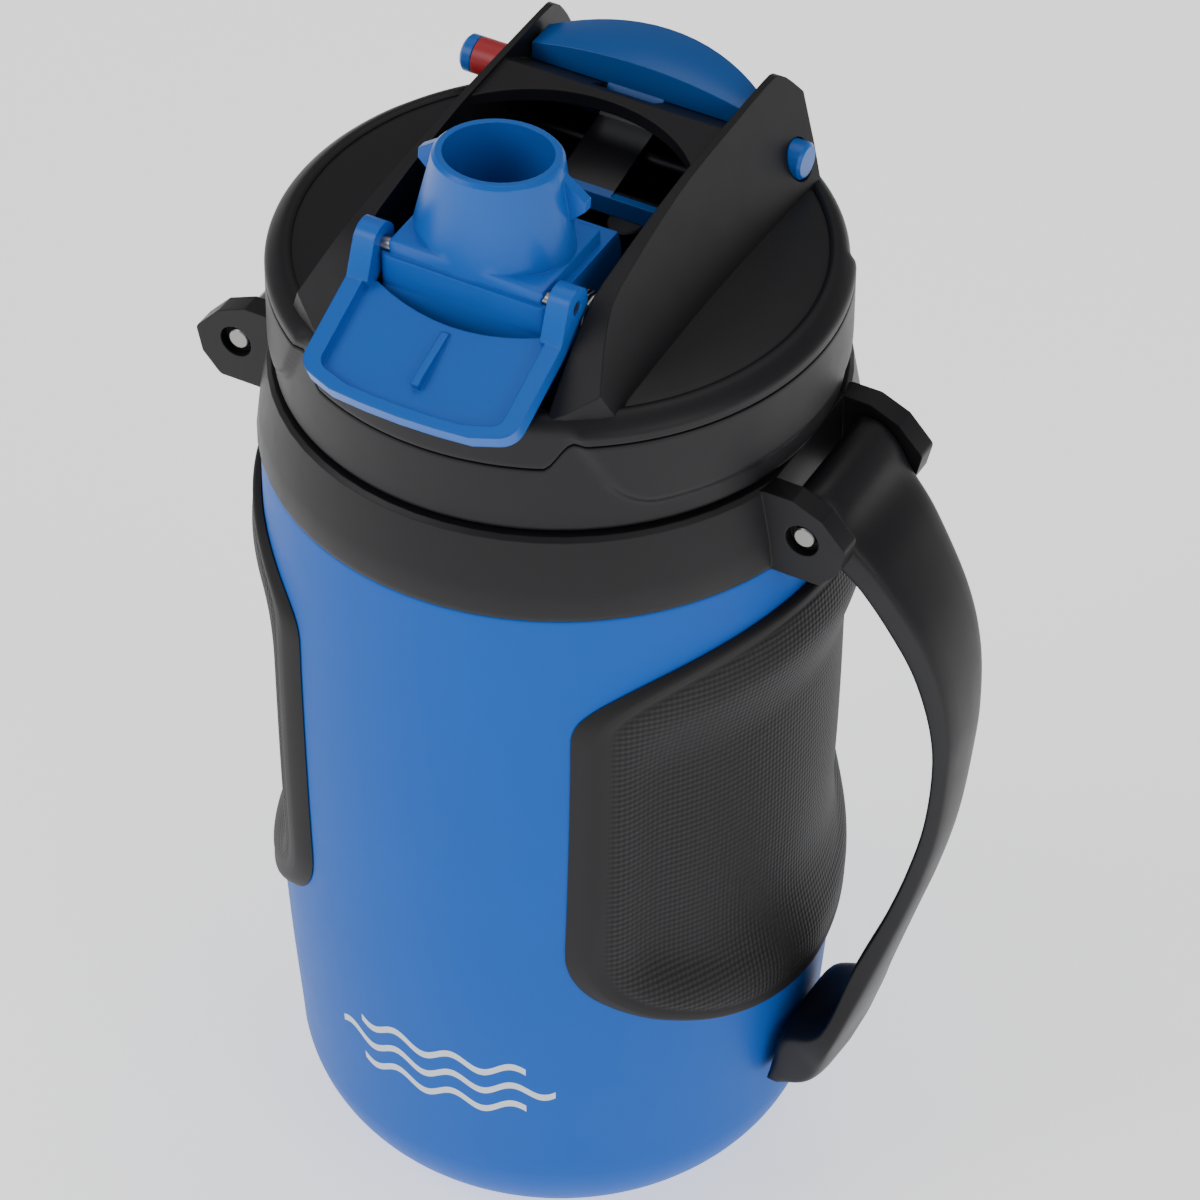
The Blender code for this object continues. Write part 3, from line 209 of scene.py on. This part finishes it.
def mouldedFinish(name, look):
    # moulded plastic, rubber or metal: a fine grain, a slow drift in tone and gloss, and softened edges
    made = Finish(name)
    colour = look["colour"]
    drift = made.noise(18.0, 2.0)
    made.put(made.shader.inputs["Base Color"],
             made.blend(drift, shade(colour, 1 - look["drift"]), shade(colour, 1 + look["drift"])))
    scuff = made.noise(140.0, 4.0)
    made.put(made.shader.inputs["Roughness"], made.span(scuff, look["gloss"] - look["glossDrift"],
                                                        look["gloss"] + look["glossDrift"]))
    made.put(made.shader.inputs["Metallic"], look.get("metal", 0.0))
    made.put(made.shader.inputs["Specular IOR Level"], look.get("sheen", 0.5))
    grain = made.noise(look["grainScale"], 2.0)
    soft = made.node("ShaderNodeBevel", {"samples": 6}, {"Radius": look.get("edge", 0.4) * mm})
    bump = made.node("ShaderNodeBump", None, {"Strength": look["grain"], "Distance": 0.02 * mm, "Height": grain,
                                              "Normal": soft.outputs[0]})
    made.put(made.shader.inputs["Normal"], bump.outputs[0])
    return made


def gripFinish(look):
    # rubber with a fine staggered weave: the product of two slanting waves over the pad's own map; its colour also
    # carries painted shade in the weave's dips and a painted highlight on its ridges
    made = Finish("gripRubber")
    flat = made.node("ShaderNodeUVMap", {"uv_map": "UVMap"})
    axes = made.node("ShaderNodeSeparateXYZ", None, {0: flat.outputs[0]})
    across, up = made.wire(axes, 0), made.wire(axes, 1)
    kx, kz = 2 * math.pi / look["pitchAcross"], 2 * math.pi / look["pitchUp"]
    weave = (across * kx + up * kz).sine() * (across * kx - up * kz).sine()
    fade = made.wire(made.node("ShaderNodeAttribute", {"attribute_name": "field"}), 2)
    height = weave * fade
    drift = made.noise(30.0, 2.0)
    # painted shade and highlight: the base colour runs from a darkened copy of the rubber in the weave's dips to a
    # lightened copy on its ridges, varied by a random drift in tone
    weaveShadeHighlight = made.span(height, 0.55, 1.25, -1.0, 1.0)
    tone = made.blend(made.span(weaveShadeHighlight * (0.8 + drift * 0.4), 0.0, 1.0, 0.3, 1.5), shade(look["colour"], 0.45),
                      shade(look["colour"], 1.7))
    made.put(made.shader.inputs["Base Color"], tone)
    gloss, glossDrift = look["gloss"], look["glossDrift"]
    made.put(made.shader.inputs["Roughness"], made.span(height, gloss + glossDrift, gloss - glossDrift, -1.0, 1.0))
    made.put(made.shader.inputs["Specular IOR Level"], 0.3)
    grain = made.noise(3000.0, 2.0)
    bump = made.node("ShaderNodeBump", None, {"Strength": look["depth"], "Distance": 0.25 * mm,
                                              "Height": height * 0.5 + grain * 0.06})
    made.put(made.shader.inputs["Normal"], bump.outputs[0])
    return made.material


def bodyFinish(look):
    # matt blue coat with three printed wave lines low on the front
    made = mouldedFinish("bodyBlue", look)
    axes = made.node("ShaderNodeSeparateXYZ", None, {0: made.place()})
    x, y, z = (made.wire(axes, k) for k in range(3))
    angle = x.join("ARCTAN2", 0.0 - y)
    along = angle * (look["printRadius"] * mm) - look["printCentre"] * mm
    lines = None
    for k, reach in enumerate(look["printReach"]):
        level = (look["printLow"] + k * look["printStep"]) * mm
        wave = (along * (2 * math.pi / (look["printWave"] * mm))).sine() * (look["printSwing"] * mm)
        inside = (z - wave - level).size().less(look["printLine"] * mm) * along.size().less(reach * mm)
        lines = inside if lines is None else lines.highest(inside)
    onFront = (0.0 - y).more(0.0)
    plain = made.shader.inputs["Base Color"].links[0].from_socket
    made.put(made.shader.inputs["Base Color"], made.blend(lines * onFront, plain, (0.72, 0.78, 0.83, 1.0)))
    return made.material


def leverFinish(look):
    # the push pad and the nose are blue, the arm between them is in the hood's dark plastic colour
    made = mouldedFinish("leverBlue", look)
    axes = made.node("ShaderNodeSeparateXYZ", None, {0: made.place()})
    y, z = made.wire(axes, 1), made.wire(axes, 2)
    arm = z.less(look["armTop"] * mm) * y.more(look["armStart"] * mm)
    plain = made.shader.inputs["Base Color"].links[0].from_socket
    made.put(made.shader.inputs["Base Color"], made.blend(arm, plain, shade(look["armColour"], 1.0)))
    return made.material


blackLook = {"colour": (0.0085, 0.008, 0.0098), "drift": 0.12, "gloss": 0.45, "glossDrift": 0.05,
             "grainScale": 2600.0, "grain": 0.25, "edge": 0.45, "sheen": 0.27}
strapLook = dict(blackLook, gloss=0.42, colour=(0.0092, 0.0086, 0.0105))
bodyLook = {"colour": (0.0, 0.098, 0.48), "drift": 0.04, "gloss": 0.5, "glossDrift": 0.04, "grainScale": 3200.0,
            "grain": 0.22, "edge": 0.3, "sheen": 0.2, "printRadius": 65.5, "printCentre": 3.0, "printLow": 49.0,
            "printStep": 6.4, "printReach": (22.0, 29.0, 22.0), "printWave": 15.0, "printSwing": 1.7,
            "printLine": 1.05}
trimLook = {"colour": (0.0, 0.112, 0.5), "drift": 0.05, "gloss": 0.33, "glossDrift": 0.04, "grainScale": 1800.0,
            "grain": 0.08, "edge": 0.45, "sheen": 0.4}
leverLook = dict(trimLook, colour=(0.0, 0.075, 0.31), gloss=0.32, armTop=271.0, armStart=11.6,
                 armColour=(0.0085, 0.008, 0.0098))
gripLook = {"colour": (0.0085, 0.0078, 0.009), "gloss": 0.6, "glossDrift": 0.08, "pitchAcross": 2.5 * mm, "pitchUp": 3.1 * mm,
            "depth": 1.0}
steelLook = {"colour": (0.3, 0.295, 0.285), "drift": 0.08, "gloss": 0.34, "glossDrift": 0.08, "grainScale": 900.0,
             "grain": 0.3, "edge": 0.3, "metal": 1.0}
whiteLook = {"colour": (0.7, 0.71, 0.72), "drift": 0.03, "gloss": 0.4, "glossDrift": 0.05, "grainScale": 1200.0,
             "grain": 0.1, "edge": 0.3}
siliconeLook = {"colour": (0.42, 0.43, 0.44), "drift": 0.05, "gloss": 0.52, "glossDrift": 0.05,
                "grainScale": 1500.0, "grain": 0.15, "edge": 0.3}
foamLook = {"colour": (0.74, 0.66, 0.42), "drift": 0.12, "gloss": 0.85, "glossDrift": 0.08, "grainScale": 700.0,
            "grain": 0.9, "edge": 0.3}
redLook = {"colour": (0.4, 0.012, 0.02), "drift": 0.06, "gloss": 0.4, "glossDrift": 0.05, "grainScale": 1800.0,
           "grain": 0.1, "edge": 0.2}

blackPlastic = mouldedFinish("blackPlastic", blackLook).material
strapPlastic = mouldedFinish("strapPlastic", strapLook).material
trimBlue = mouldedFinish("trimBlue", trimLook).material
steel = mouldedFinish("pinSteel", steelLook).material
linerWhite = mouldedFinish("linerWhite", whiteLook).material
silicone = mouldedFinish("silicone", siliconeLook).material
foam = mouldedFinish("foam", foamLook).material
axleSteel = mouldedFinish("axleSteel", dict(steelLook, colour=(0.02, 0.02, 0.022), gloss=0.5)).material
lockRed = mouldedFinish("lockRed", redLook).material
bodyBlue = bodyFinish(bodyLook)
gripRubber = gripFinish(gripLook)
print("finishes made")

leverShade = leverFinish(leverLook)
slotFinish = {"body_blue": bodyBlue, "foam": foam, "liner_white": linerWhite, "grip_rubber": gripRubber,
              "black_plastic": blackPlastic, "steel": steel, "silicone": silicone, "trim_blue": trimBlue,
              "lever_blue": leverShade, "lock_red": lockRed}
for part in frame["record"]["subparts"]:
    node = frame["nodes"][part["node"]]
    node.data.materials.clear()
    node.data.materials.append(slotFinish[part["material_slot"]])


bodyOf = {name: key for key, names in frame["record"]["behaviour"]["bodies"].items() for name in names}
slotOf = {part["node"]: part["material_slot"] for part in frame["record"]["subparts"]}


def smoothCopy(node, name, angle, material=None):
    # a welded copy with its flat faces joined up, so its round faces shade evenly
    source = frame["nodes"][node]
    mesh = source.data.copy()
    mesh.name = name
    shell = bmesh.new()
    shell.from_mesh(mesh)
    bmesh.ops.remove_doubles(shell, verts=shell.verts, dist=2e-6)
    bmesh.ops.dissolve_limit(shell, angle_limit=math.radians(0.6), verts=shell.verts, edges=shell.edges)
    shell.to_mesh(mesh)
    shell.free()
    if mesh.has_custom_normals:
        mesh.attributes.remove(mesh.attributes["custom_normal"])
    mesh.shade_smooth()
    mesh.set_sharp_from_angle(angle=math.radians(angle))
    piece = bpy.data.objects.new(name, mesh)
    bpy.context.scene.collection.objects.link(piece)
    return settle(piece, material or slotFinish[slotOf[node]], bodyOf[node], slotOf[node], node)


def settle(piece, material, body, slot, *nodes):
    piece.data.materials.clear()
    piece.data.materials.append(material)
    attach(piece, body)
    if nodes:
        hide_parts(*nodes)
    return piece


# the body and its grip pads

jug = {"sideKeys": [(67.2, 203.0), (67.2, 152.25), (66.4, 94.0), (65.0, 61.85), (62.6, 29.7)],
       "round": 29.7, "wall": 2.0, "neck": 58.8, "steps": 300, "rim": 0.8}
pad = {"corner": [(-58, 166), (-57.9, 169.5), (-57.2, 173), (-55.6, 176), (-53.2, 178.7), (-49, 181.9),
                  (-43, 184.9), (-34, 187.7), (-22, 189.8), (-10, 190.8), (0, 191)],
       "foot": [(-58, 104), (-57.8, 99), (-56.9, 94), (-55.2, 89.4), (-52.6, 85.4), (-48, 80.6), (-42, 76.6),
                (-33, 72.2), (-22, 68.8), (-10, 66.7), (0, 66)],
       "rise": [(191, 2.6), (186, 3.4), (181, 3.3), (175, 2.5), (169, 1.1), (163, -0.6), (157, -1.9), (150, -2.2),
                (134, -2.2), (120, -2.3), (108, -2.5), (99, -2.5), (93, -2.0), (87, -0.7), (81, 0.8), (75, 1.8),
                (66, 2.0)],
       "halfY": 58.0, "thick": 2.0, "edge": 1.3, "gap": 0.3, "frame": 2.0, "border": 2.6, "blend": 15.0,
       "groove": 0.25, "columns": 170, "rows": 200}
sideLine = smoothLine(np.array(jug["sideKeys"]) * mm, 30)
padUpper, padLower = smoothLine(pad["corner"], 6) * mm, smoothLine(pad["foot"], 6) * mm
padLeft = np.vstack([padLower[::-1], padUpper])
padOutline = np.vstack([padLeft, padLeft[::-1][1:-1] * [-1, 1]])


def sideRadius(z):
    # the side's radius at each height, read off the smooth side line
    return np.interp(z, sideLine[::-1, 1], sideLine[::-1, 0])


def ease(t):
    # 3t^2 - 2t^3 between 0 and 1
    t = np.clip(t, 0, 1)
    return t * t * (3 - 2 * t)


def padSkin(y, z, inset):
    # how far the pad's face stands off the side line: a raised frame that eases into a pinched field
    keys = smoothLine(pad["rise"][::-1], 8)
    field = np.interp(z / mm, keys[:, 0], keys[:, 1])
    mix = ease((inset / mm - pad["border"]) / pad["blend"])
    groove = pad["groove"] * np.exp(-((inset / mm - pad["border"] - 1.0) / 0.9) ** 2)
    return (pad["frame"] * (1 - mix) + field * mix - groove) * mm


def insideOutline(y, z):
    high = np.interp(-np.abs(y), padUpper[:, 0], padUpper[:, 1])
    low = np.interp(-np.abs(y), padLower[:, 0], padLower[:, 1])
    return (np.abs(y) < pad["halfY"] * mm) & (z < high) & (z > low)


def pocketDepth(y, z):
    # the body is pressed in under each pad, so the pad keeps its thickness
    inset = np.where(insideOutline(y, z), outlineDistance(np.stack([y.ravel(), z.ravel()], -1),
                                                          padOutline).reshape(y.shape), 0.0)
    skin = padSkin(y, z, inset)
    return np.clip(pad["thick"] * mm - skin, 0, 1) * ease(inset / mm / 3.0)


def buildBody(look):
    rim, ring = look["rim"] * mm, (look["sideKeys"][-1][0] - look["round"]) * mm
    top, wall = look["sideKeys"][0][1] * mm, look["wall"] * mm
    r = look["round"] * mm
    side = sideLine[sideLine[:, 1] < top - 1.2 * rim]
    edge = arcLine((look["sideKeys"][0][0] * mm - rim, top - rim), rim, 90, 0, 6)
    foot = arcLine((ring, r), r, -8, -90, 26)
    base = np.array([[ring - 6.4 * mm, 0.0], [ring - 7.4 * mm, 0.25 * mm], [ring - 8.8 * mm, 1.45 * mm],
                     [ring - 9.6 * mm, 1.5 * mm], [16.4 * mm, 1.5 * mm], [15.6 * mm, 1.4 * mm],
                     [14.3 * mm, 0.15 * mm], [13.8 * mm, 0.0], [1e-4, 0.0]])
    inner = np.vstack([[[1e-4, 3.5 * mm], [0.02, 3.5 * mm]], arcLine((ring, r), r - wall, -86, -8, 10),
                       side[::-3] - [wall, 0.0], [[look["neck"] * mm + 6 * mm, top - wall],
                                                  [look["neck"] * mm, top - wall], [look["neck"] * mm, top]]])
    line = np.vstack([inner, edge, side, foot, base])
    grid = turnedGrid(line, look["steps"])
    inSide = (line[:, 0] > 0.06)[:, None] & (grid[..., 2] > 0.064) & (grid[..., 2] < 0.193)
    press = np.where(inSide, pocketDepth(grid[..., 1], grid[..., 2]), 0.0)
    away = np.linalg.norm(grid[..., :2], axis=-1)
    grid[..., :2] *= (1 - press / np.maximum(away, 1e-6))[..., None]
    rows, steps = grid.shape[:2]
    faces = gridFaces(rows, steps, wrapCols=True) + capFace(steps, 0) + capFace(steps, rows - 1)
    return makeMesh("jugBody", grid.reshape(-1, 3), faces)


def buildPad(name, side, look):
    # over a grid of y and z: radius = side + skin, rounded off near the outline; the back follows the pressed body
    a = np.linspace(-1, 1, look["columns"])
    y = look["halfY"] * mm * np.sin(a * np.pi / 2)
    zTop = np.interp(-np.abs(y), padUpper[:, 0], padUpper[:, 1])
    zLow = np.interp(-np.abs(y), padLower[:, 0], padLower[:, 1])
    v = 0.5 - 0.5 * np.cos(np.linspace(0, np.pi, look["rows"]))
    v = 0.5 * v + 0.5 * np.linspace(0, 1, look["rows"])
    yy = np.repeat(y[:, None], len(v), 1)
    zz = zLow[:, None] + (zTop - zLow)[:, None] * v[None, :]
    d = outlineDistance(np.stack([yy.ravel(), zz.ravel()], -1), padOutline).reshape(yy.shape)
    edge = np.clip(d / (look["edge"] * mm), 0, 1)
    rounding = (1 - np.sqrt(1 - (1 - edge) ** 2)) * look["frame"] * mm
    base = sideRadius(zz) + look["gap"] * mm - np.clip(look["thick"] * mm - padSkin(yy, zz, d), 0, 1) * ease(
        d / mm / 3.0)
    r = np.maximum(sideRadius(zz) + look["gap"] * mm + padSkin(yy, zz, d) - rounding, base + 0.02 * mm)
    turn, turnBack = np.arcsin(yy / r), np.arcsin(np.clip(yy / base, -1, 1))
    front = np.stack([side * r * np.cos(turn), yy, zz], -1)
    back = np.stack([side * base * np.cos(turnBack), yy, zz], -1)
    rows, cols = yy.shape
    count = rows * cols
    faces = gridFaces(rows, cols) + [f[::-1] for f in gridFaces(rows, cols, start=count)]
    ring = np.concatenate([np.arange(cols), np.arange(1, rows) * cols + cols - 1,
                           (rows - 1) * cols + np.arange(cols - 2, -1, -1), np.arange(rows - 2, 0, -1) * cols])
    after = np.roll(ring, -1)
    faces += np.stack([ring, after, after + count, ring + count], -1).tolist()
    points = np.concatenate([front.reshape(-1, 3), back.reshape(-1, 3)])
    uv = np.stack([turn * 0.067, zz], -1).reshape(-1, 2)
    piece = makeMesh(name, points, faces, np.concatenate([uv, uv]))
    field = piece.data.attributes.new("field", "FLOAT", "POINT")
    away = outlineDistance(cornersOf(piece)[:, 1:].astype(float), padOutline)
    field.data.foreach_set("value", np.clip((away / mm - 3.2) / 1.4, 0, 1).astype(np.float32))
    return piece


settle(buildBody(jug), bodyBlue, "jug", "body_blue", "outer_shell")
settle(buildPad("gripRight", 1, pad), gripRubber, "jug", "grip_rubber", "grip_pad_right")
settle(buildPad("gripLeft", -1, pad), gripRubber, "jug", "grip_rubber", "grip_pad_left")
print("body and grip pads made")

# the side handle

handle = {
    "outer": [(67.4, 221.9), (69.6, 223.2), (73.4, 222.9), (77.6, 219.2), (81.2, 213.0), (88.4, 204.5),
              (98.0, 189.0), (102.8, 175.0), (104.4, 160.0), (103.6, 146.0), (101.4, 127.0), (97.6, 110.0),
              (92.6, 93.0), (86.6, 73.0), (81.0, 55.0), (78.2, 46.0), (75.0, 41.5), (68.0, 39.2)],
    "inner": [(66.2, 220.0), (66.0, 216.0), (67.0, 210.5), (70.2, 207.0), (75.6, 204.0), (81.6, 198.0),
              (88.2, 186.6), (93.4, 175.2), (97.0, 160.5), (98.0, 147.0), (96.4, 129.0), (92.8, 112.5),
              (87.9, 96.0), (81.8, 79.0), (76.6, 60.6), (66.4, 54.8), (64.2, 46.0), (63.2, 39.6)],
    "half": [15.4, 15.5, 15.6, 15.6, 15.5, 14.4, 12.2, 10.3, 8.4, 7.2, 6.2, 5.7, 6.0, 8.6, 14.6, 15.0, 15.0, 14.8],
    "crown": 1.3, "power": 0.26, "steps": 8, "loop": 56}


def buildStrap(look):
    # at each station a rounded bar between the inner and outer lines: across w cos a, depth from a flattened circle
    outer = smoothLine(look["outer"], look["steps"]) * mm
    inner = smoothLine(look["inner"], look["steps"]) * mm
    half = smoothLine(np.array(look["half"])[:, None], look["steps"])[:, 0] * mm
    a = np.linspace(0, 2 * np.pi, look["loop"], endpoint=False)
    power = look["power"]
    across = np.sign(np.cos(a)) * np.abs(np.cos(a)) ** power
    deep = np.sign(np.sin(a)) * np.abs(np.sin(a)) ** power
    middle = (outer + inner) / 2
    reach = (outer - inner) / 2
    thick = np.linalg.norm(reach, axis=1) + 1e-9
    share = np.where(deep > 0, across ** 2, 0.35 * across ** 2)
    bow = np.minimum(look["crown"] * mm / thick, 0.35)[:, None] * share
    depth = deep[None, :] * (1 - bow)
    x = middle[:, 0:1] + reach[:, 0:1] * depth
    z = middle[:, 1:2] + reach[:, 1:2] * depth
    y = half[:, None] * across[None, :]
    grid = np.stack([x, y, z], -1)
    rows, cols = x.shape
    faces = gridFaces(rows, cols, wrapCols=True) + capFace(cols, 0) + capFace(cols, rows - 1)
    return makeMesh("sideStrap", grid.reshape(-1, 3), faces)


strap = settle(buildStrap(handle), strapPlastic, "handle", "black_plastic", "side_handle")
print("handle made")

# the lid's side wall and the rolled edge of its cover

wall = {"radius": 63.5, "inner": 61.3, "low": 225.1, "seam": 249.0, "frontSeam": 242.0, "stepFrom": 25.5,
        "stepOver": 6.0, "seamGap": 0.34, "panelFrom": 31.5, "panelTo": 118.0, "panelLow": 230.2,
        "panelLean": 0.5, "panelRound": 9.0,
        "panelRise": 1.3, "panelEase": 3.0, "steps": 320}
roll = [(63.5, 251.2), (63.36, 252.4), (62.9, 253.5), (62.1, 254.4), (61.0, 255.0), (59.8, 255.1), (58.8, 254.6)]


def seamHeight(turn):
    # the seam drops by a soft step over the front
    away = np.degrees(np.abs(np.arctan2(np.sin(turn), np.cos(turn))))
    rise = ease((away - wall["stepFrom"]) / wall["stepOver"])
    return (wall["frontSeam"] + (wall["seam"] - wall["frontSeam"]) * rise) * mm


def panelRise(turn, z):
    # a soft raised panel with rounded corners on each side: the rise eases in with the distance inside its outline
    away = np.degrees(np.abs(np.arctan2(np.sin(turn), np.cos(turn))))
    first = wall["panelFrom"] + wall["panelLean"] * (wall["seam"] - z / mm)
    reach = np.radians(wall["panelTo"] - first) / 2 * wall["radius"]
    across = np.abs(np.radians(away - first) * wall["radius"] - reach) - reach + wall["panelRound"]
    down = wall["panelLow"] - z / mm + wall["panelRound"]
    outside = np.hypot(np.maximum(across, 0), np.maximum(down, 0)) + np.minimum(np.maximum(across, down), 0)
    return wall["panelRise"] * mm * ease((wall["panelRound"] - outside) / wall["panelEase"])


def ringPiece(name, section):
    # rows of (radius, height) over the turn, joined into one closed ring
    turn = np.linspace(0, 2 * np.pi, wall["steps"], endpoint=False)
    rows = [[np.broadcast_to(v, turn.shape) for v in pair] for pair in section(turn)]
    r = np.array([row[0] for row in rows])
    z = np.array([row[1] for row in rows])
    grid = np.stack([r * np.sin(turn), -r * np.cos(turn), z], -1)
    faces = gridFaces(len(rows), wall["steps"], wrapRows=True, wrapCols=True)
    return makeMesh(name, grid.reshape(-1, 3), faces)


def skirtSection(turn):
    top, low, r, inner = seamHeight(turn), wall["low"] * mm, wall["radius"] * mm, wall["inner"] * mm
    rows = [(inner, top)]
    for inset, drop in ((0.45, 0.0), (0.13, 0.12), (0.0, 0.45)):
        rows.append((r - inset * mm + panelRise(turn, top), top - drop * mm))
    for t in np.linspace(0.03, 1, 40):
        z = (top - 0.45 * mm) * (1 - t) + (low + 1.3 * mm) * t
        rows.append((r + panelRise(turn, z), z))
    for inset, lift in ((0.12, 0.62), (0.42, 0.2), (0.9, 0.0)):
        rows.append((r - inset * mm, low + lift * mm))
    return rows + [(inner, low)]


def rollSection(turn):
    low, r = seamHeight(turn) + wall["seamGap"] * mm, wall["radius"] * mm
    rows = [(wall["inner"] * mm, low)]
    for inset, lift in ((0.45, 0.0), (0.13, 0.12), (0.0, 0.45)):
        rows.append((r - inset * mm + panelRise(turn, low), low + lift * mm))
    for t in np.linspace(0.1, 0.9, 8):
        z = (low + 0.45 * mm) * (1 - t) + roll[0][1] * mm * t
        rows.append((r + panelRise(turn, z), z))
    for radius, height in smoothLine(roll, 5):
        fade = 1 - ease((height - roll[0][1]) / 3.6)
        rows.append((radius * mm + panelRise(turn, roll[0][1] * mm) * fade, height * mm))
    return rows + [(roll[-1][0] * mm, 253.4 * mm), (wall["inner"] * mm, 252.6 * mm)]


settle(ringPiece("lidSkirt", skirtSection), blackPlastic, "lid", "black_plastic", "lid_base")
settle(ringPiece("coverRoll", rollSection), blackPlastic, "lid", "black_plastic", "lid_cover")
print("lid wall made")

# the CAD pieces that are kept in shape, welded and shaded

def drawIn(piece):
    # the outer wall steps back inside the smooth ring that covers it
    spots = cornersOf(piece)
    away = np.hypot(spots[:, 0], spots[:, 1])
    outer = (away > 62.6 * mm) & (spots[:, 2] < 254.4 * mm)
    spots[outer, :2] *= ((away[outer] - 0.7 * mm) / away[outer])[:, None]
    rim = away > 60.9 * mm
    spots[rim & (spots[:, 2] < 225.5 * mm), 2] += 0.3 * mm
    moveCorners(piece, spots)


def lengthen(piece, start, reach):
    # the bolt's right end stands a little proud of the fin
    spots = cornersOf(piece)
    spots[spots[:, 0] > start * mm, 0] += reach * mm
    moveCorners(piece, spots)


copies = {"collar_ring": 30, "lid_base": 30, "lid_cover": 24, "spout": 32, "spout_cover": 32, "release_lever": 26,
          "lock_bolt": 40, "lock_band": 40, "strap_pin": 40, "handle_pin": 40, "inner_liner": 30}
for node, angle in copies.items():
    words = node.split("_")
    copy = smoothCopy(node, words[0] + "".join(w.title() for w in words[1:]), angle)
    if node in ("lid_base", "lid_cover"):
        drawIn(copy)
    if node == "lock_bolt":
        lengthen(copy, 34.0, 2.4)
frame["nodes"]["lever_axle"].data.materials[0] = axleSteel
print("CAD pieces smoothed")

# camera, floor and light

view = {"place": (0.498, -0.899, 1.0415), "target": (0.0, 0.0, 0.151), "lens": 177.5, "shift": 0.033}
lights = [
    {"name": "keyLight", "place": (-0.9, -0.9, 1.1), "size": 0.9, "power": 9.0},
    {"name": "sideLight", "place": (1.2, -0.5, 0.8), "size": 0.8, "power": 5.0},
    {"name": "topLight", "place": (0.0, 0.3, 1.5), "size": 1.1, "power": 5.0},
    {"name": "frontLight", "place": (0.2, -1.5, 0.5), "size": 1.0, "power": 2.0}]


def aim(thing, target):
    way = Vector(target) - thing.location
    thing.rotation_euler = way.to_track_quat("-Z", "Y").to_euler()


def buildStudio():
    camera = bpy.data.objects.new("camera", bpy.data.cameras.new("camera"))
    camera.location = view["place"]
    camera.data.lens = view["lens"]
    camera.data.shift_x = view["shift"]
    aim(camera, view["target"])
    bpy.context.scene.collection.objects.link(camera)
    bpy.context.scene.camera = camera
    for item in lights:
        data = bpy.data.lights.new(item["name"], "AREA")
        data.energy, data.size = item["power"], item["size"]
        lamp = bpy.data.objects.new(item["name"], data)
        lamp.location = item["place"]
        bpy.context.scene.collection.objects.link(lamp)
        aim(lamp, (0, 0, 0.15))
    world = bpy.data.worlds.new("studio")
    world.use_nodes = True
    world.node_tree.nodes["Background"].inputs[0].default_value = (1, 1, 1, 1)
    world.node_tree.nodes["Background"].inputs[1].default_value = 0.3
    bpy.context.scene.world = world
    grid = np.array([[-6, -6, 0], [6, -6, 0], [6, 6, 0], [-6, 6, 0]], float)
    floor = makeMesh("floor", grid, [[0, 1, 2, 3]])
    paint = Finish("floorPaint")
    tone = paint.noise(3.0, 2.0)
    paint.put(paint.shader.inputs["Base Color"], paint.blend(tone, (0.86, 0.86, 0.86, 1), (0.9, 0.9, 0.9, 1)))
    paint.put(paint.shader.inputs["Roughness"], 0.7)
    paint.put(paint.shader.inputs["Emission Color"], (1, 1, 1, 1))
    paint.put(paint.shader.inputs["Emission Strength"], 0.9)
    floor.data.materials.append(paint.material)


buildStudio()
print("studio made")
